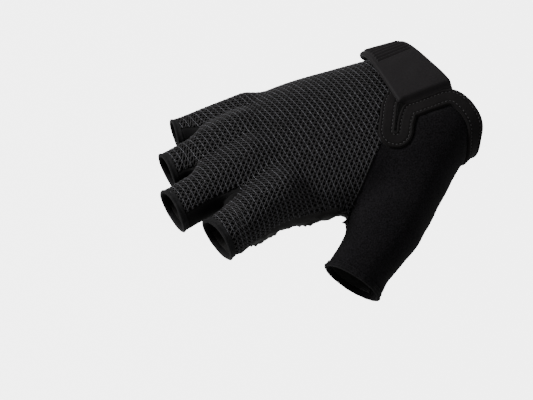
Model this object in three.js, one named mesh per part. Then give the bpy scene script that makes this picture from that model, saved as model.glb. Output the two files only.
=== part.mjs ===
import * as THREE from 'three';

// A fingerless riding glove for the right hand, standing open as it is worn. Lengths are in mm.
// x points up the forearm, y to the little finger, z out of the back of the hand. The origin is
// the middle of the wrist opening.

// Size of the hand form that the cloth is shaped on
const palmLength = 84;
const handWidth = 67;
const handDepth = 26.5;
const wristWidth = 52.5;
const wristDepth = 37;
const edgeRoundness = 2.3;
const palmBlend = 6;
const crotchRounding = 4;

// Finger stalls: reach is from the knuckle to the hem, width is across the hem
const indexReach = 32.5;
const middleReach = 39;
const ringReach = 34;
const littleReach = 30.5;
const indexWidth = 18.8;
const middleWidth = 18.4;
const ringWidth = 17.2;
const littleWidth = 15.2;
const slotGap = 2.6;
const slotBlend = 1.2;

// Thumb stall
const thumbReach = 30.6;
const thumbWidth = 22.4;
const thumbRootWidth = 29.2;
const thumbSplay = 32.2;
const thumbDrop = 19;
const thumbBlend = 7;

// Walls, and the clear gap left along every seam
const netWall = 1.1;
const suedeWall = 1.4;
const stretchWall = 1.1;
const brushedWall = 1.3;
const seamGap = 0.3;

// Rolled hems
const hemWidth = 2.4;
const hemHeight = 2.1;
const hemProud = 0.6;
const hemBow = 0.9;

// Binding round the wrist opening and the slit
const bindingWidth = 6.5;
const bindingProud = 0.8;
const bindingSunk = 1.3;
const bindingCorner = 7;
const slitEndGap = 0.5;
const slitWristGap = 5;
const loopClearance = 0.4;
const cornerClearance = 1.4;

// Strap, ribs on its tab and the hook patch under it
const strapThickness = 2.3;
const strapRise = 1.1;
const strapLength = 44;
const strapWidth = 23.5;
const tabWidth = 16;
const tabCorner = 4;
const ribCount = 6;
const ribPitch = 1.5;
const ribHeight = 0.5;
const patchThickness = 1.2;
const patchLength = 13;
const patchWidth = 8;
const patchShift = 2;

// Sections of the hand form. along: share of palmLength from the wrist. shift: middle of the section
// towards the little finger, share of handWidth. rise: share of handDepth. spread: 0 is as wide as
// the wrist, 1 as wide as the hand. back, palm: height on each side of the middle, 0 as deep as
// the hand and 1 as the wrist. arch: how far the edges hang, share of handDepth.
const handSections = [
  { along: -0.17, shift: 0.010, rise: 0, spread: 0.05, back: 1.1, palm: 1.1, arch: 0 },
  { along: 0, shift: 0.013, rise: 0, spread: 0, back: 1, palm: 1, arch: 0 },
  { along: 0.21, shift: 0.022, rise: 0.02, spread: 0.14, back: 0.71, palm: 0.81, arch: 0.02 },
  { along: 0.45, shift: 0.034, rise: 0.02, spread: 0.56, back: 0.43, palm: 0.62, arch: 0.11 },
  { along: 0.71, shift: 0.045, rise: 0.02, spread: 1, back: 0.24, palm: 0.43, arch: 0.23 },
  { along: 0.98, shift: 0.045, rise: -0.02, spread: 1, back: -0.05, palm: 0.05, arch: 0.26 },
  { along: 1.17, shift: 0.060, rise: -0.08, spread: 0.93, back: -0.43, palm: -0.62, arch: 0.28 },
  { along: 1.33, shift: 0.067, rise: -0.11, spread: 0.7, back: -0.81, palm: -1, arch: 0.26 },
];

// Where the palm ends between the fingers. across: share of half the hand's width.
const crotchLine = [
  { across: -1.3, along: 1.19 },
  { across: -0.42, along: 1.255 },
  { across: 0.14, along: 1.31 },
  { across: 0.72, along: 1.205 },
  { across: 1.3, along: 1.095 },
];

// Finger stalls, thumb side first. rootAlong: share of palmLength. rootAcross: share of half the
// hand's width. rootRise: share of handDepth. droop: fall per unit of reach. fullness, depth: width
// and depth at the root as shares of the hem's width. roll: turn towards the little finger, degrees.
// ulnarSeam, radialSeam: edges of the back of the stall, degrees from its top.
const stallRows = [
  { name: 'index', reach: indexReach, width: indexWidth, rootAlong: 1, rootAcross: -0.66, rootRise: 0.06,
    droop: 0.17, fullness: 1, depth: 1.28, roll: -8, ulnarSeam: 52, radialSeam: 108 },
  { name: 'middle', reach: middleReach, width: middleWidth, rootAlong: 1.048, rootAcross: -0.12,
    rootRise: 0.075, droop: 0.154, fullness: 0.98, depth: 1.3, roll: 0, ulnarSeam: 52, radialSeam: 55 },
  { name: 'ring', reach: ringReach, width: ringWidth, rootAlong: 1.024, rootAcross: 0.39, rootRise: 0.02,
    droop: 0.19, fullness: 0.98, depth: 1.31, roll: 8, ulnarSeam: 50, radialSeam: 52 },
  { name: 'little', reach: littleReach, width: littleWidth, rootAlong: 0.929, rootAcross: 0.815,
    rootRise: -0.15, droop: 0.164, fullness: 0.98, depth: 1.14, roll: 18, ulnarSeam: 104, radialSeam: 32 },
];
const middleHemAcross = -0.167;
const palmarSeam = 128;
const freeSideStart = 0.5;
const slotStride = 0.5;
const slotMargin = 1;

// Thumb, as round sections along its bone. The ball carries the width at the root.
const thumbHeel = { along: 0.2, across: -0.5, rise: -0.1, width: 0.8 };
const thumbBall = { along: 0.524, across: -1.14, rise: -0.566 };
const thumbTip = { past: 0.85, width: 0.94 };

// Edge of the wrist opening. turn: degrees round the wrist from the little finger's side over the
// back. along: share of palmLength, minus is up the forearm.
const wristEdge = [
  { turn: -100, along: 0.03 },
  { turn: -40, along: 0.08 },
  { turn: 0, along: 0.115 },
  { turn: 50, along: 0.095 },
  { turn: 84, along: 0.06 },
  { turn: 114, along: 0.03 },
  { turn: 138, along: -0.024 },
  { turn: 158, along: -0.045 },
  { turn: 180, along: -0.02 },
  { turn: 215, along: 0.01 },
  { turn: 260, along: 0.03 },
];

// Middle line of the slit from its closed end to the wrist. across: share of half the wrist's
// width. opening: 0 is slitEndGap and 1 is slitWristGap.
const slitLine = [
  { along: 0.392, across: -0.7, opening: 0 },
  { along: 0.356, across: -0.5, opening: 0 },
  { along: 0.302, across: -0.275, opening: 0.38 },
  { along: 0.235, across: -0.215, opening: 0.85 },
  { along: 0.13, across: -0.2, opening: 1 },
  { along: -0.08, across: -0.2, opening: 1 },
];
const slitSeamTurn = -40;

// Seams on the hand, from the wrist to the fingers. across: share of half the hand's width.
// rise: share of handDepth.
const thumbSeam = [
  { along: 0.529, across: -0.66, rise: 0.32 },
  { along: 0.64, across: -0.87, rise: 0.02 },
  { along: 0.71, across: -0.955, rise: -0.29 },
  { along: 0.722, across: -0.975, rise: -0.38 },
];
const indexSeam = [
  { along: 0.78, across: -0.905, rise: -0.11 },
  { along: 0.815, across: -0.916, rise: -0.16 },
  { along: 0.908, across: -0.905, rise: -0.125 },
  { along: 1.015, across: -0.907, rise: -0.125 },
];
const ulnarSeam = [
  { along: 0.45, across: 0.97, rise: -0.17 },
  { along: 0.71, across: 1.09, rise: -0.34 },
  { along: 0.95, across: 1.12, rise: -0.45 },
];
const webSeam = [
  { along: 0.756, across: -0.94, rise: -0.585 },
  { along: 0.726, across: -0.866, rise: -0.79 },
  { along: 0.667, across: -0.88, rise: -0.96 },
  { along: 0.595, across: -0.985, rise: -1.07 },
];
const ballSeam = [
  { along: 0.47, across: -0.78, rise: -1.05 },
  { along: 0.28, across: -0.5, rise: -0.9 },
];
const ballSeamWristTurn = 246;
const ulnarSeamWristTurn = -6;
const gussetBack = 86;
const gussetPalm = 206;
const sideTurn = 8;
const sideTurnDepth = 0.38 * handDepth;

// Middle line and width of the strap. share: of its length. along: share of palmLength. narrow: 0 is
// strapWidth and 1 is tabWidth. raised: 0 lies in the slit, 1 over the binding, 2 over the patch.
const strapRows = [
  { share: 0, along: 0.165, narrow: 0.25, raised: 0.55 },
  { share: 0.05, along: 0.176, narrow: 0.03, raised: 1 },
  { share: 0.5, along: 0.205, narrow: 0.45, raised: 1 },
  { share: 0.75, along: 0.215, narrow: 0.75, raised: 1.7 },
  { share: 1, along: 0.224, narrow: 1, raised: 2 },
];

const strapBaseShare = 0.75;
const strapSink = 0.35 * strapThickness;
const strapClearance = 0.15;

// Gathers of the crotch piece across the web. at: share of the way from back to palm. height: share
// of suedeWall. spread: share of the web.
const gathers = [
  { at: 0.14, height: 0.9, spread: 0.08 },
  { at: 0.36, height: 0.6, spread: 0.09 },
  { at: 0.6, height: 0.8, spread: 0.08 },
  { at: 0.84, height: 0.5, spread: 0.09 },
];
const webClearance = 0.06;
const gatherClearance = 0.1;

// Grid steps
const leanRows = 5;
const stallSteps = 4;
const stallColumns = 6;
const slotColumns = 4;
const flankSteps = 6;
const thumbSeamSteps = 4;
const indexSeamSteps = 6;
const webSteps = 4;
const ballSeamSteps = 7;
const ulnarSeamSteps = 14;
const thumbSteps = 5;
const thumbColumns = 11;
const gussetColumns = 9;
const hemSteps = 18;
const wristSteps = 28;
const castSteps = 40;
const settleSteps = 14;
const evenSteps = 3;
const evenRounds = 12;
const plainStrapSteps = 9;
const strapColumns = 6;
const fullStep = 0.9;

const { clamp, lerp, degToRad } = THREE.MathUtils;
const zAxis = new THREE.Vector3(0, 0, 1);
const fingerwards = new THREE.Vector3(-1, 0, 0);

const at = (x, y, z) => new THREE.Vector3(x, y, z);
const between = (a, b, share) => a.clone().lerp(b, share);
const shares = (count) => Array.from({ length: count + 1 }, (_, i) => i / count);

// A smooth curve through a table column: cubic pieces whose slopes come from the neighbours
function columnCurve(rows, by, column) {
  const knots = rows.map((row) => row[by]);
  const values = rows.map((row) => row[column]);
  const last = knots.length - 1;
  const slopes = knots.map((_, i) => {
    const a = Math.max(i - 1, 0);
    const b = Math.min(i + 1, last);
    return (values[b] - values[a]) / (knots[b] - knots[a]);
  });
  return (where) => {
    const t = clamp(where, knots[0], knots[last]);
    let i = 0;
    while (i < last - 1 && t > knots[i + 1]) i += 1;
    const h = knots[i + 1] - knots[i];
    const s = (t - knots[i]) / h;
    const bend = s * s * (3 - 2 * s);
    const pullStart = s * (1 - s) * (1 - s) * h * slopes[i];
    const pullEnd = s * s * (1 - s) * h * slopes[i + 1];
    return lerp(values[i], values[i + 1], bend) + pullStart - pullEnd;
  };
}

// A smooth curve through points in space, by distance along their chords
function spaceCurve(points) {
  let length = 0;
  const rows = points.map((point, i) => {
    if (i > 0) length += point.distanceTo(points[i - 1]);
    return { length, x: point.x, y: point.y, z: point.z };
  });
  const x = columnCurve(rows, 'length', 'x');
  const y = columnCurve(rows, 'length', 'y');
  const z = columnCurve(rows, 'length', 'z');
  return (share) => at(x(share * length), y(share * length), z(share * length));
}

const halfHand = handWidth / 2;
const halfWrist = wristWidth / 2;

function sectionCurves() {
  const rows = handSections.map((row) => ({
    along: row.along * palmLength,
    middle: row.shift * handWidth,
    rise: row.rise * handDepth,
    half: lerp(halfWrist, halfHand, row.spread),
    back: lerp(handDepth, wristDepth, row.back) / 2,
    palm: lerp(handDepth, wristDepth, row.palm) / 2,
    arch: row.arch * handDepth,
  }));
  const curves = {};
  for (const name of ['middle', 'rise', 'half', 'back', 'palm', 'arch']) {
    curves[name] = columnCurve(rows, 'along', name);
  }
  return curves;
}
const section = sectionCurves();
const crotchRows = crotchLine.map((row) => ({ y: row.across * halfHand, x: row.along * palmLength }));
const crotchAlong = columnCurve(crotchRows, 'y', 'x');

// Each stall is a tube that narrows from its root to its hem
function makeStall(row, hemY) {
  const root = at(-row.rootAlong * palmLength, row.rootAcross * halfHand + section.middle(palmLength),
    row.rootRise * handDepth);
  const hem = at(root.x - row.reach, hemY, root.z - row.droop * row.reach);
  const axis = hem.clone().sub(root).normalize();
  const flat = axis.clone().cross(zAxis).normalize();
  const top = flat.clone().cross(axis);
  const turn = degToRad(row.roll);
  const up = top.clone().multiplyScalar(Math.cos(turn)).addScaledVector(flat, Math.sin(turn));
  const side = flat.clone().multiplyScalar(Math.cos(turn)).addScaledVector(top, -Math.sin(turn));
  return {
    ...row, root, hem, axis, up, side,
    length: root.distanceTo(hem),
    rootHalf: row.width * row.fullness / 2,
    hemHalf: row.width / 2,
    rootHigh: row.width * row.depth / 2,
  };
}

function makeStalls() {
  const [index, middle, ring, little] = stallRows;
  const middleY = middleHemAcross * halfHand;
  const step = (a, b) => (a.width + b.width) / 2 + slotGap;
  const ringY = middleY + step(middle, ring);
  return [
    makeStall(index, middleY - step(index, middle)),
    makeStall(middle, middleY),
    makeStall(ring, ringY),
    makeStall(little, ringY + step(ring, little)),
  ];
}
const stalls = makeStalls();

function makeThumb() {
  const place = (row) => at(-row.along * palmLength, row.across * halfHand, row.rise * handDepth);
  const heel = place(thumbHeel);
  const ball = place(thumbBall);
  const splay = degToRad(thumbSplay);
  const drop = degToRad(thumbDrop);
  const axis = at(-Math.cos(splay) * Math.cos(drop), -Math.sin(splay) * Math.cos(drop), -Math.sin(drop));
  const hem = ball.clone().addScaledVector(axis, thumbReach);
  const tip = hem.clone().addScaledVector(axis, thumbReach * thumbTip.past);
  const side = axis.clone().cross(zAxis).normalize();
  const up = side.clone().cross(axis);
  const radii = [wristDepth * thumbHeel.width, thumbRootWidth, thumbWidth, thumbWidth * thumbTip.width];
  return { heel, ball, hem, tip, axis, side, up, joints: [heel, ball, hem, tip], radii: radii.map((w) => w / 2) };
}
const thumb = makeThumb();

function smoothMin(a, b, reach) {
  const h = clamp(0.5 + 0.5 * (b - a) / reach, 0, 1);
  return lerp(b, a, h) - reach * h * (1 - h);
}

const offset = new THREE.Vector3();

// Distance to a stall: scaled ellipse, rounded over behind its root
function stallDistance(stall, point) {
  offset.subVectors(point, stall.root);
  const along = offset.dot(stall.axis);
  const share = clamp(along / stall.length, 0, 1);
  const half = lerp(stall.rootHalf, stall.hemHalf, share);
  const high = lerp(stall.rootHigh, stall.hemHalf, share);
  const side = offset.dot(stall.side) / half;
  const top = offset.dot(stall.up) / high;
  const behind = Math.min(along, 0) / half;
  const size = Math.hypot(side, top, behind);
  const slope = Math.hypot(side / half, top / high, behind / half) / Math.max(size, 1e-6);
  return (size - 1) / Math.max(slope, 1 / Math.max(half, high));
}

// Distance to the thumb: cones joined end to end
function thumbDistance(point) {
  let distance = Infinity;
  for (let i = 0; i < 3; i += 1) {
    const a = thumb.joints[i];
    const b = thumb.joints[i + 1];
    const bone = b.clone().sub(a);
    offset.subVectors(point, a);
    const share = clamp(offset.dot(bone) / bone.lengthSq(), 0, 1);
    const cone = offset.addScaledVector(bone, -share).length() - lerp(thumb.radii[i], thumb.radii[i + 1], share);
    distance = i === 0 ? cone : smoothMin(distance, cone, palmBlend);
  }
  return distance;
}

// Distance to the palm: a rounded section whose edges hang, cut off at the finger crotches
function palmDistance(point) {
  const along = -point.x;
  const half = section.half(along);
  const across = (point.y - section.middle(along)) / half;
  const centre = section.rise(along) - section.arch(along) * Math.min(across * across, 1.5);
  const over = point.z - centre;
  const high = over > 0 ? section.back(along) : section.palm(along);
  const a = Math.abs(across) + 1e-6;
  const b = Math.abs(over / high) + 1e-6;
  const size = (a ** edgeRoundness + b ** edgeRoundness) ** (1 / edgeRoundness);
  const slope = Math.hypot((a / size) ** (edgeRoundness - 1) / half, (b / size) ** (edgeRoundness - 1) / high);
  const front = along - crotchAlong(point.y);
  return -smoothMin(-(size - 1) / slope, -front, crotchRounding);
}

// The hand form: below 0 is inside
function form(point) {
  let fingers = Infinity;
  stalls.forEach((stall, i) => {
    const tube = stallDistance(stall, point);
    fingers = i === 0 ? tube : smoothMin(fingers, tube, slotBlend);
  });
  return smoothMin(smoothMin(palmDistance(point), fingers, palmBlend), thumbDistance(point), thumbBlend);
}

function formSlope(point) {
  const step = 0.05;
  const slope = new THREE.Vector3();
  for (const name of ['x', 'y', 'z']) {
    const ahead = point.clone();
    const behind = point.clone();
    ahead[name] += step;
    behind[name] -= step;
    slope[name] = (form(ahead) - form(behind)) / (2 * step);
  }
  return slope;
}
const formNormal = (point) => formSlope(point).normalize();

// Walks from a point inside the form to its surface
function castOut(origin, direction) {
  const ray = direction.clone().normalize();
  let reach = 1;
  for (let i = 0; i < castSteps; i += 1) {
    reach -= fullStep * clamp(form(origin.clone().addScaledVector(ray, reach)), -4, 4);
  }
  return origin.clone().addScaledVector(ray, reach);
}

// Slides a point near the form to its surface
function settle(point, steps = settleSteps) {
  const spot = point.clone();
  for (let i = 0; i < steps; i += 1) {
    const slope = formSlope(spot);
    spot.addScaledVector(slope, -fullStep * form(spot) / Math.max(slope.lengthSq(), 0.1));
  }
  return spot;
}

// A point on a stall, by distance along it and by degrees from its top towards the little finger
function stallPoint(stall, along, turn) {
  const angle = degToRad(turn);
  const ray = stall.up.clone().multiplyScalar(Math.cos(angle)).addScaledVector(stall.side, Math.sin(angle));
  return castOut(stall.root.clone().addScaledVector(stall.axis, along), ray);
}
function thumbPoint(share, turn) {
  const angle = degToRad(turn);
  const ray = thumb.up.clone().multiplyScalar(Math.cos(angle)).addScaledVector(thumb.side, Math.sin(angle));
  return castOut(between(thumb.ball, thumb.hem, share), ray);
}
const bodyPoint = (row) => settle(at(-row.along * palmLength, row.across * halfHand, row.rise * handDepth));

// Where the cloth of a stall stops, short of its rolled hem; the hem bows back over the top
function hemStop(stall, turn, short) {
  return stall.length - short - hemBow * Math.max(Math.cos(degToRad(turn)), 0) ** 2;
}

// Points of one stall's back, front or side: rows from the hand to the hem, columns across
function stallSheet(stall, turnA, turnB, startA, startB, columns) {
  return shares(stallSteps).map((down) => shares(columns).map((share) => {
    const turn = lerp(turnA, turnB, share);
    const start = lerp(startA, startB, share);
    return stallPoint(stall, lerp(start, hemStop(stall, turn, hemWidth + seamGap), down), turn);
  }));
}

// A point on a stall's own tube, abreast of x
function tubePoint(stall, x, turn) {
  const along = (x - stall.root.x) / stall.axis.x;
  const share = clamp(along / stall.length, 0, 1);
  const angle = degToRad(turn);
  return stall.root.clone().addScaledVector(stall.axis, along)
    .addScaledVector(stall.side, lerp(stall.rootHalf, stall.hemHalf, share) * Math.sin(angle))
    .addScaledVector(stall.up, lerp(stall.rootHigh, stall.hemHalf, share) * Math.cos(angle));
}

// How far along a stall its side at this turn comes abreast of x
function abreast(stall, x, turn) {
  const tube = tubePoint(stall, x, turn);
  return (2 * x - tube.x - stall.root.x) / stall.axis.x;
}

// The bottom of a slot, half-way between two stalls, found by walking back from the nearer hem
function slotBottom(radial, ulnar, radialTurn, ulnarTurn) {
  const middle = (x) => tubePoint(radial, x, radialTurn).lerp(tubePoint(ulnar, x, -ulnarTurn), 0.5);
  let open = Math.max(radial.hem.x, ulnar.hem.x);
  let closed = open + slotStride;
  while (form(middle(closed)) > 0 && closed < 0) {
    open = closed;
    closed += slotStride;
  }
  for (let i = 0; i < settleSteps; i += 1) {
    const x = (open + closed) / 2;
    if (form(middle(x)) > 0) open = x;
    else closed = x;
  }
  return middle(closed);
}

// Points across the form from one border to another, turning about centres inside it.
// Directions turn about the axis at an even rate, the long way when way says so.
function fanRow(from, to, centreFrom, centreTo, axis, way, columns) {
  const up = zAxis.clone().addScaledVector(axis, -zAxis.dot(axis)).normalize();
  const side = axis.clone().cross(up);
  const bearing = (point, centre) => {
    const arm = point.clone().sub(centre);
    const reach = Math.hypot(arm.dot(side), arm.dot(up));
    return { angle: Math.atan2(arm.dot(up), arm.dot(side)), tilt: arm.dot(axis) / reach };
  };
  const start = bearing(from, centreFrom);
  const end = bearing(to, centreTo);
  while (way > 0 && end.angle < start.angle) end.angle += 2 * Math.PI;
  while (way < 0 && end.angle > start.angle) end.angle -= 2 * Math.PI;
  return columns.map((share) => {
    if (share === 0) return from.clone();
    if (share === 1) return to.clone();
    const angle = lerp(start.angle, end.angle, share);
    const ray = side.clone().multiplyScalar(Math.cos(angle)).addScaledVector(up, Math.sin(angle));
    ray.addScaledVector(axis, lerp(start.tilt, end.tilt, share));
    return castOut(between(centreFrom, centreTo, share), ray);
  });
}

// Wrist edge, moved in over the cloth by inset
const wristRows = wristEdge.map((row) => ({ turn: row.turn, x: -row.along * palmLength }));
const wristCurve = columnCurve(wristRows, 'turn', 'x');
const firstTurn = wristEdge[0].turn;
const wristX = (turn) => wristCurve(THREE.MathUtils.euclideanModulo(turn - firstTurn, 360) + firstTurn);
function wristPoint(turn) {
  const x = wristX(turn);
  const angle = degToRad(turn);
  return castOut(at(x, section.middle(-x), 0), at(0, Math.cos(angle), Math.sin(angle)));
}
function wristLine(turn, inset) {
  const point = wristPoint(turn);
  const tangent = wristPoint(turn + 1).sub(wristPoint(turn - 1)).normalize();
  const side = tangent.cross(formNormal(point));
  if (side.x > 0) side.negate();
  return settle(point.addScaledVector(side, inset));
}

// Slit edges: hand is -1 on the finger side and +1 on the thumb side
const slitRows = slitLine.map((row, i) => ({ step: i, ...row }));
const slitAlong = columnCurve(slitRows, 'step', 'along');
const slitAcross = columnCurve(slitRows, 'step', 'across');
const slitOpening = columnCurve(slitRows, 'step', 'opening');
const slitMiddle = (step) => settle(at(-slitAlong(step) * palmLength, slitAcross(step) * halfWrist, wristDepth / 2));
function slitSide(step) {
  const tangent = slitMiddle(step + 0.05).sub(slitMiddle(Math.max(step - 0.05, 0))).normalize();
  return tangent.cross(formNormal(slitMiddle(step))).normalize();
}
function slitEdge(step, hand, inset) {
  const half = lerp(slitEndGap, slitWristGap, slitOpening(step)) / 2;
  return settle(slitMiddle(step).addScaledVector(slitSide(step), hand * (half + inset)));
}
// Round the closed end: -90 joins the finger side, 90 the thumb side
function slitLoop(turn, inset) {
  const side = slitSide(0);
  const back = formNormal(slitMiddle(0)).cross(side).normalize();
  if (back.x > 0) back.negate();
  const angle = degToRad(turn);
  const radius = slitEndGap / 2 + inset;
  const ray = back.multiplyScalar(Math.cos(angle)).addScaledVector(side, Math.sin(angle));
  return settle(slitMiddle(0).addScaledVector(ray, radius));
}

// Where a line along the slit meets the line round the wrist, both moved in by inset
const turnOf = (point) => THREE.MathUtils.radToDeg(Math.atan2(point.z, point.y - section.middle(-point.x)));
function slitStepAt(hand, inset, fromWrist) {
  let low = 1;
  let high = slitLine.length - 1;
  for (let i = 0; i < 20; i += 1) {
    const step = (low + high) / 2;
    const point = slitEdge(step, hand, inset);
    const turn = turnOf(point);
    const gap = point.distanceTo(wristLine(turn, 0)) * Math.sign(wristX(turn) - point.x);
    if (gap > fromWrist) low = step;
    else high = step;
  }
  return (low + high) / 2;
}

// A closed solid from sheets of points that share their borders. Each point's own over and under say
// how far the outer and inner face lie from the form; without them the wall hangs under the form.
function shell(sheets, wall, pull = seamGap / 2, rounds = 0) {
  const points = [];
  const lookup = new Map();
  const indexOf = (point) => {
    const key = [point.x, point.y, point.z].map((value) => Math.round(value * 200)).join();
    if (!lookup.has(key)) {
      lookup.set(key, points.length);
      points.push(point);
    }
    return lookup.get(key);
  };
  const faces = [];
  for (const sheet of sheets) {
    const ids = sheet.map((row) => row.map(indexOf));
    faces.push(...facingOut(sheetFaces(ids), points));
  }
  const rim = freeEdges(faces);
  evenOut(points, faces, rim, rounds);
  const normals = points.map(formNormal);
  const shift = points.map(() => new THREE.Vector3());
  for (const [a, b] of rim) {
    const run = points[b].clone().sub(points[a]);
    const inward = normals[a].clone().add(normals[b]).cross(run).normalize();
    shift[a].add(inward);
    shift[b].add(inward);
  }
  const seamed = points.map((point, i) => {
    const size = shift[i].length();
    const move = size > 0 ? pull * Math.min(2 / size, 3) / Math.max(size, 0.5) : 0;
    return point.clone().addScaledVector(shift[i], move);
  });
  const outer = seamed.map((point, i) => point.clone().addScaledVector(normals[i], points[i].over ?? 0));
  const inner = seamed.map((point, i) => point.clone().addScaledVector(normals[i], points[i].under ?? -wall));
  const count = points.length;
  const all = faces.slice();
  for (const [a, b, c] of faces) all.push([a + count, c + count, b + count]);
  for (const [a, b] of rim) {
    const [innerA, innerB] = [a + count, b + count];
    if (points[a].x > points[b].x) all.push([b, a, innerA], [b, innerA, innerB]);
    else all.push([b, a, innerB], [a, innerA, innerB]);
  }
  return solidGeometry([...outer, ...inner], all);
}

// Moves each point that is not on the rim towards the middle of its neighbours, on the form.
// Points nearer the wrist than the slit's end stay.
function evenOut(points, faces, rim, rounds) {
  const fixed = new Set(rim.flat());
  const around = points.map(() => new Set());
  for (const [a, b, c] of faces) {
    around[a].add(b).add(c);
    around[b].add(c).add(a);
    around[c].add(a).add(b);
  }
  for (let round = 0; round < rounds; round += 1) {
    points.forEach((point, i) => {
      if (fixed.has(i) || point.x > seamStart.x) return;
      const middle = new THREE.Vector3();
      for (const neighbour of around[i]) middle.add(points[neighbour]);
      points[i] = settle(middle.divideScalar(around[i].size), evenSteps);
    });
  }
}

// Two triangles for each cell of a sheet; cells that close to a point give one
function sheetFaces(ids) {
  const faces = [];
  for (let i = 0; i < ids.length - 1; i += 1) {
    for (let j = 0; j < ids[i].length - 1; j += 1) {
      faces.push([ids[i][j], ids[i + 1][j], ids[i + 1][j + 1]]);
      faces.push([ids[i][j], ids[i + 1][j + 1], ids[i][j + 1]]);
    }
  }
  return faces.filter(([a, b, c]) => a !== b && b !== c && c !== a);
}

// Turns a whole sheet over when most of it faces into the form
function facingOut(faces, points) {
  let facing = 0;
  for (const [a, b, c] of faces) {
    const flat = points[b].clone().sub(points[a]).cross(points[c].clone().sub(points[a]));
    facing += flat.dot(formNormal(points[a]));
  }
  return facing > 0 ? faces : faces.map(([a, b, c]) => [a, c, b]);
}

// Edges that only one face uses, in that face's order
function freeEdges(faces) {
  const edges = new Map();
  for (const [a, b, c] of faces) {
    for (const [from, to] of [[a, b], [b, c], [c, a]]) {
      const back = `${to},${from}`;
      if (edges.has(back)) edges.delete(back);
      else edges.set(`${from},${to}`, [from, to]);
    }
  }
  return [...edges.values()];
}

function solidGeometry(points, faces) {
  const geometry = new THREE.BufferGeometry();
  geometry.setAttribute('position', new THREE.Float32BufferAttribute(points.flatMap((p) => [p.x, p.y, p.z]), 3));
  geometry.setIndex(faces.flat());
  geometry.computeVertexNormals();
  return geometry;
}

// A closed band along a closed path on the form. The section is drawn as [across, over] pairs,
// counter-clockwise when looking along the path.
function closedBand(path, sectionAt) {
  const count = path.length;
  const rings = path.map((point, i) => {
    const tangent = path[(i + 1) % count].clone().sub(path[(i + count - 1) % count]).normalize();
    const normal = formNormal(point);
    const side = tangent.clone().cross(normal).normalize();
    return sectionAt(i).map(([across, over]) => point.clone()
      .addScaledVector(side, across)
      .addScaledVector(normal, over));
  });
  const sides = rings[0].length;
  const faces = [];
  for (let i = 0; i < count; i += 1) {
    const next = (i + 1) % count;
    for (let j = 0; j < sides; j += 1) {
      const k = (j + 1) % sides;
      faces.push([i * sides + j, next * sides + j, next * sides + k]);
      faces.push([i * sides + j, next * sides + k, i * sides + k]);
    }
  }
  return outward(solidGeometry(rings.flat(), faces));
}

// Turns every face over when the solid's volume comes out negative
function outward(geometry) {
  const spot = geometry.getAttribute('position');
  const index = Array.from(geometry.getIndex().array);
  const corner = (i) => new THREE.Vector3().fromBufferAttribute(spot, index[i]);
  let volume = 0;
  for (let i = 0; i < index.length; i += 3) {
    volume += corner(i).dot(corner(i + 1).cross(corner(i + 2)));
  }
  if (volume < 0) {
    for (let i = 0; i < index.length; i += 3) [index[i + 1], index[i + 2]] = [index[i + 2], index[i + 1]];
    geometry.setIndex(index);
  }
  return geometry;
}

// A rounded section with eight corners
function roundedSection(halfWidth, top, bottom, corner) {
  return [
    [-halfWidth, bottom + corner], [-halfWidth + corner, bottom],
    [halfWidth - corner, bottom], [halfWidth, bottom + corner],
    [halfWidth, top - corner], [halfWidth - corner, top],
    [-halfWidth + corner, top], [-halfWidth, top - corner],
  ];
}

// Seams shared by two panels are worked out once, as the same points
const panelInset = bindingWidth + seamGap;
const loopInset = panelInset + loopClearance;

function alongSlit(hand, steps) {
  const from = slitStepAt(hand, loopInset, panelInset + cornerClearance);
  return shares(steps).map((share) => slitEdge(lerp(from, 0, share), hand, loopInset));
}

function settledCurve(points, steps) {
  const curve = spaceCurve(points);
  return shares(steps).map((share, i) => {
    if (i === 0) return points[0].clone();
    if (i === steps) return points[points.length - 1].clone();
    return settle(curve(share));
  });
}

const seamStart = slitLoop(slitSeamTurn, loopInset);
const fingerFlank = [...alongSlit(-1, flankSteps), slitLoop(-65, loopInset), seamStart];
const thumbFlank = [...alongSlit(1, flankSteps), slitLoop(55, loopInset), slitLoop(20, loopInset),
  slitLoop(-10, loopInset), seamStart];

// First and last column of a sheet
const ulnarEdge = (rows) => rows.map((row) => row[0]);
const radialEdge = (rows) => rows.map((row) => row[row.length - 1]);

// The slots, thumb side first, each with its bottom from the back of the hand to the palm
const slots = [0, 1, 2].map((i) => {
  const radial = stalls[i];
  const ulnar = stalls[i + 1];
  const bottom = shares(slotColumns).map((share) => slotBottom(radial, ulnar,
    lerp(radial.ulnarSeam, palmarSeam, share), lerp(ulnar.radialSeam, palmarSeam, share)));
  const x = Math.min(...bottom.map((point) => point.x)) - slotMargin;
  radial.ulnarStart = abreast(radial, x, 90);
  ulnar.radialStart = abreast(ulnar, x, -90);
  return { radial, ulnar, bottom };
});
stalls[0].radialStart = freeSideStart * stalls[0].length;
stalls[3].ulnarStart = freeSideStart * stalls[3].length;

const backRows = {};
const palmRows = {};
for (const stall of stalls) {
  const ulnarFront = stall.name === 'little' ? stall.ulnarSeam : palmarSeam;
  const radialFront = stall.name === 'index' ? stall.radialSeam : palmarSeam;
  backRows[stall.name] = stallSheet(stall, stall.ulnarSeam, -stall.radialSeam, stall.ulnarStart,
    stall.radialStart, stallColumns);
  palmRows[stall.name] = stallSheet(stall, ulnarFront, 360 - radialFront, stall.ulnarStart,
    stall.radialStart, stallColumns);
}
const fromLittle = stalls.map((stall) => stall.name).reverse();

// The row of points where the stalls leave the hand, little finger first
function frontRow(rows, bottomEnd) {
  const bottoms = slots.map(({ bottom }) => bottom.at(bottomEnd)).reverse();
  return fromLittle.flatMap((name, i) => [...rows[name][0], ...bottoms.slice(i, i + 1)]);
}

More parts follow.
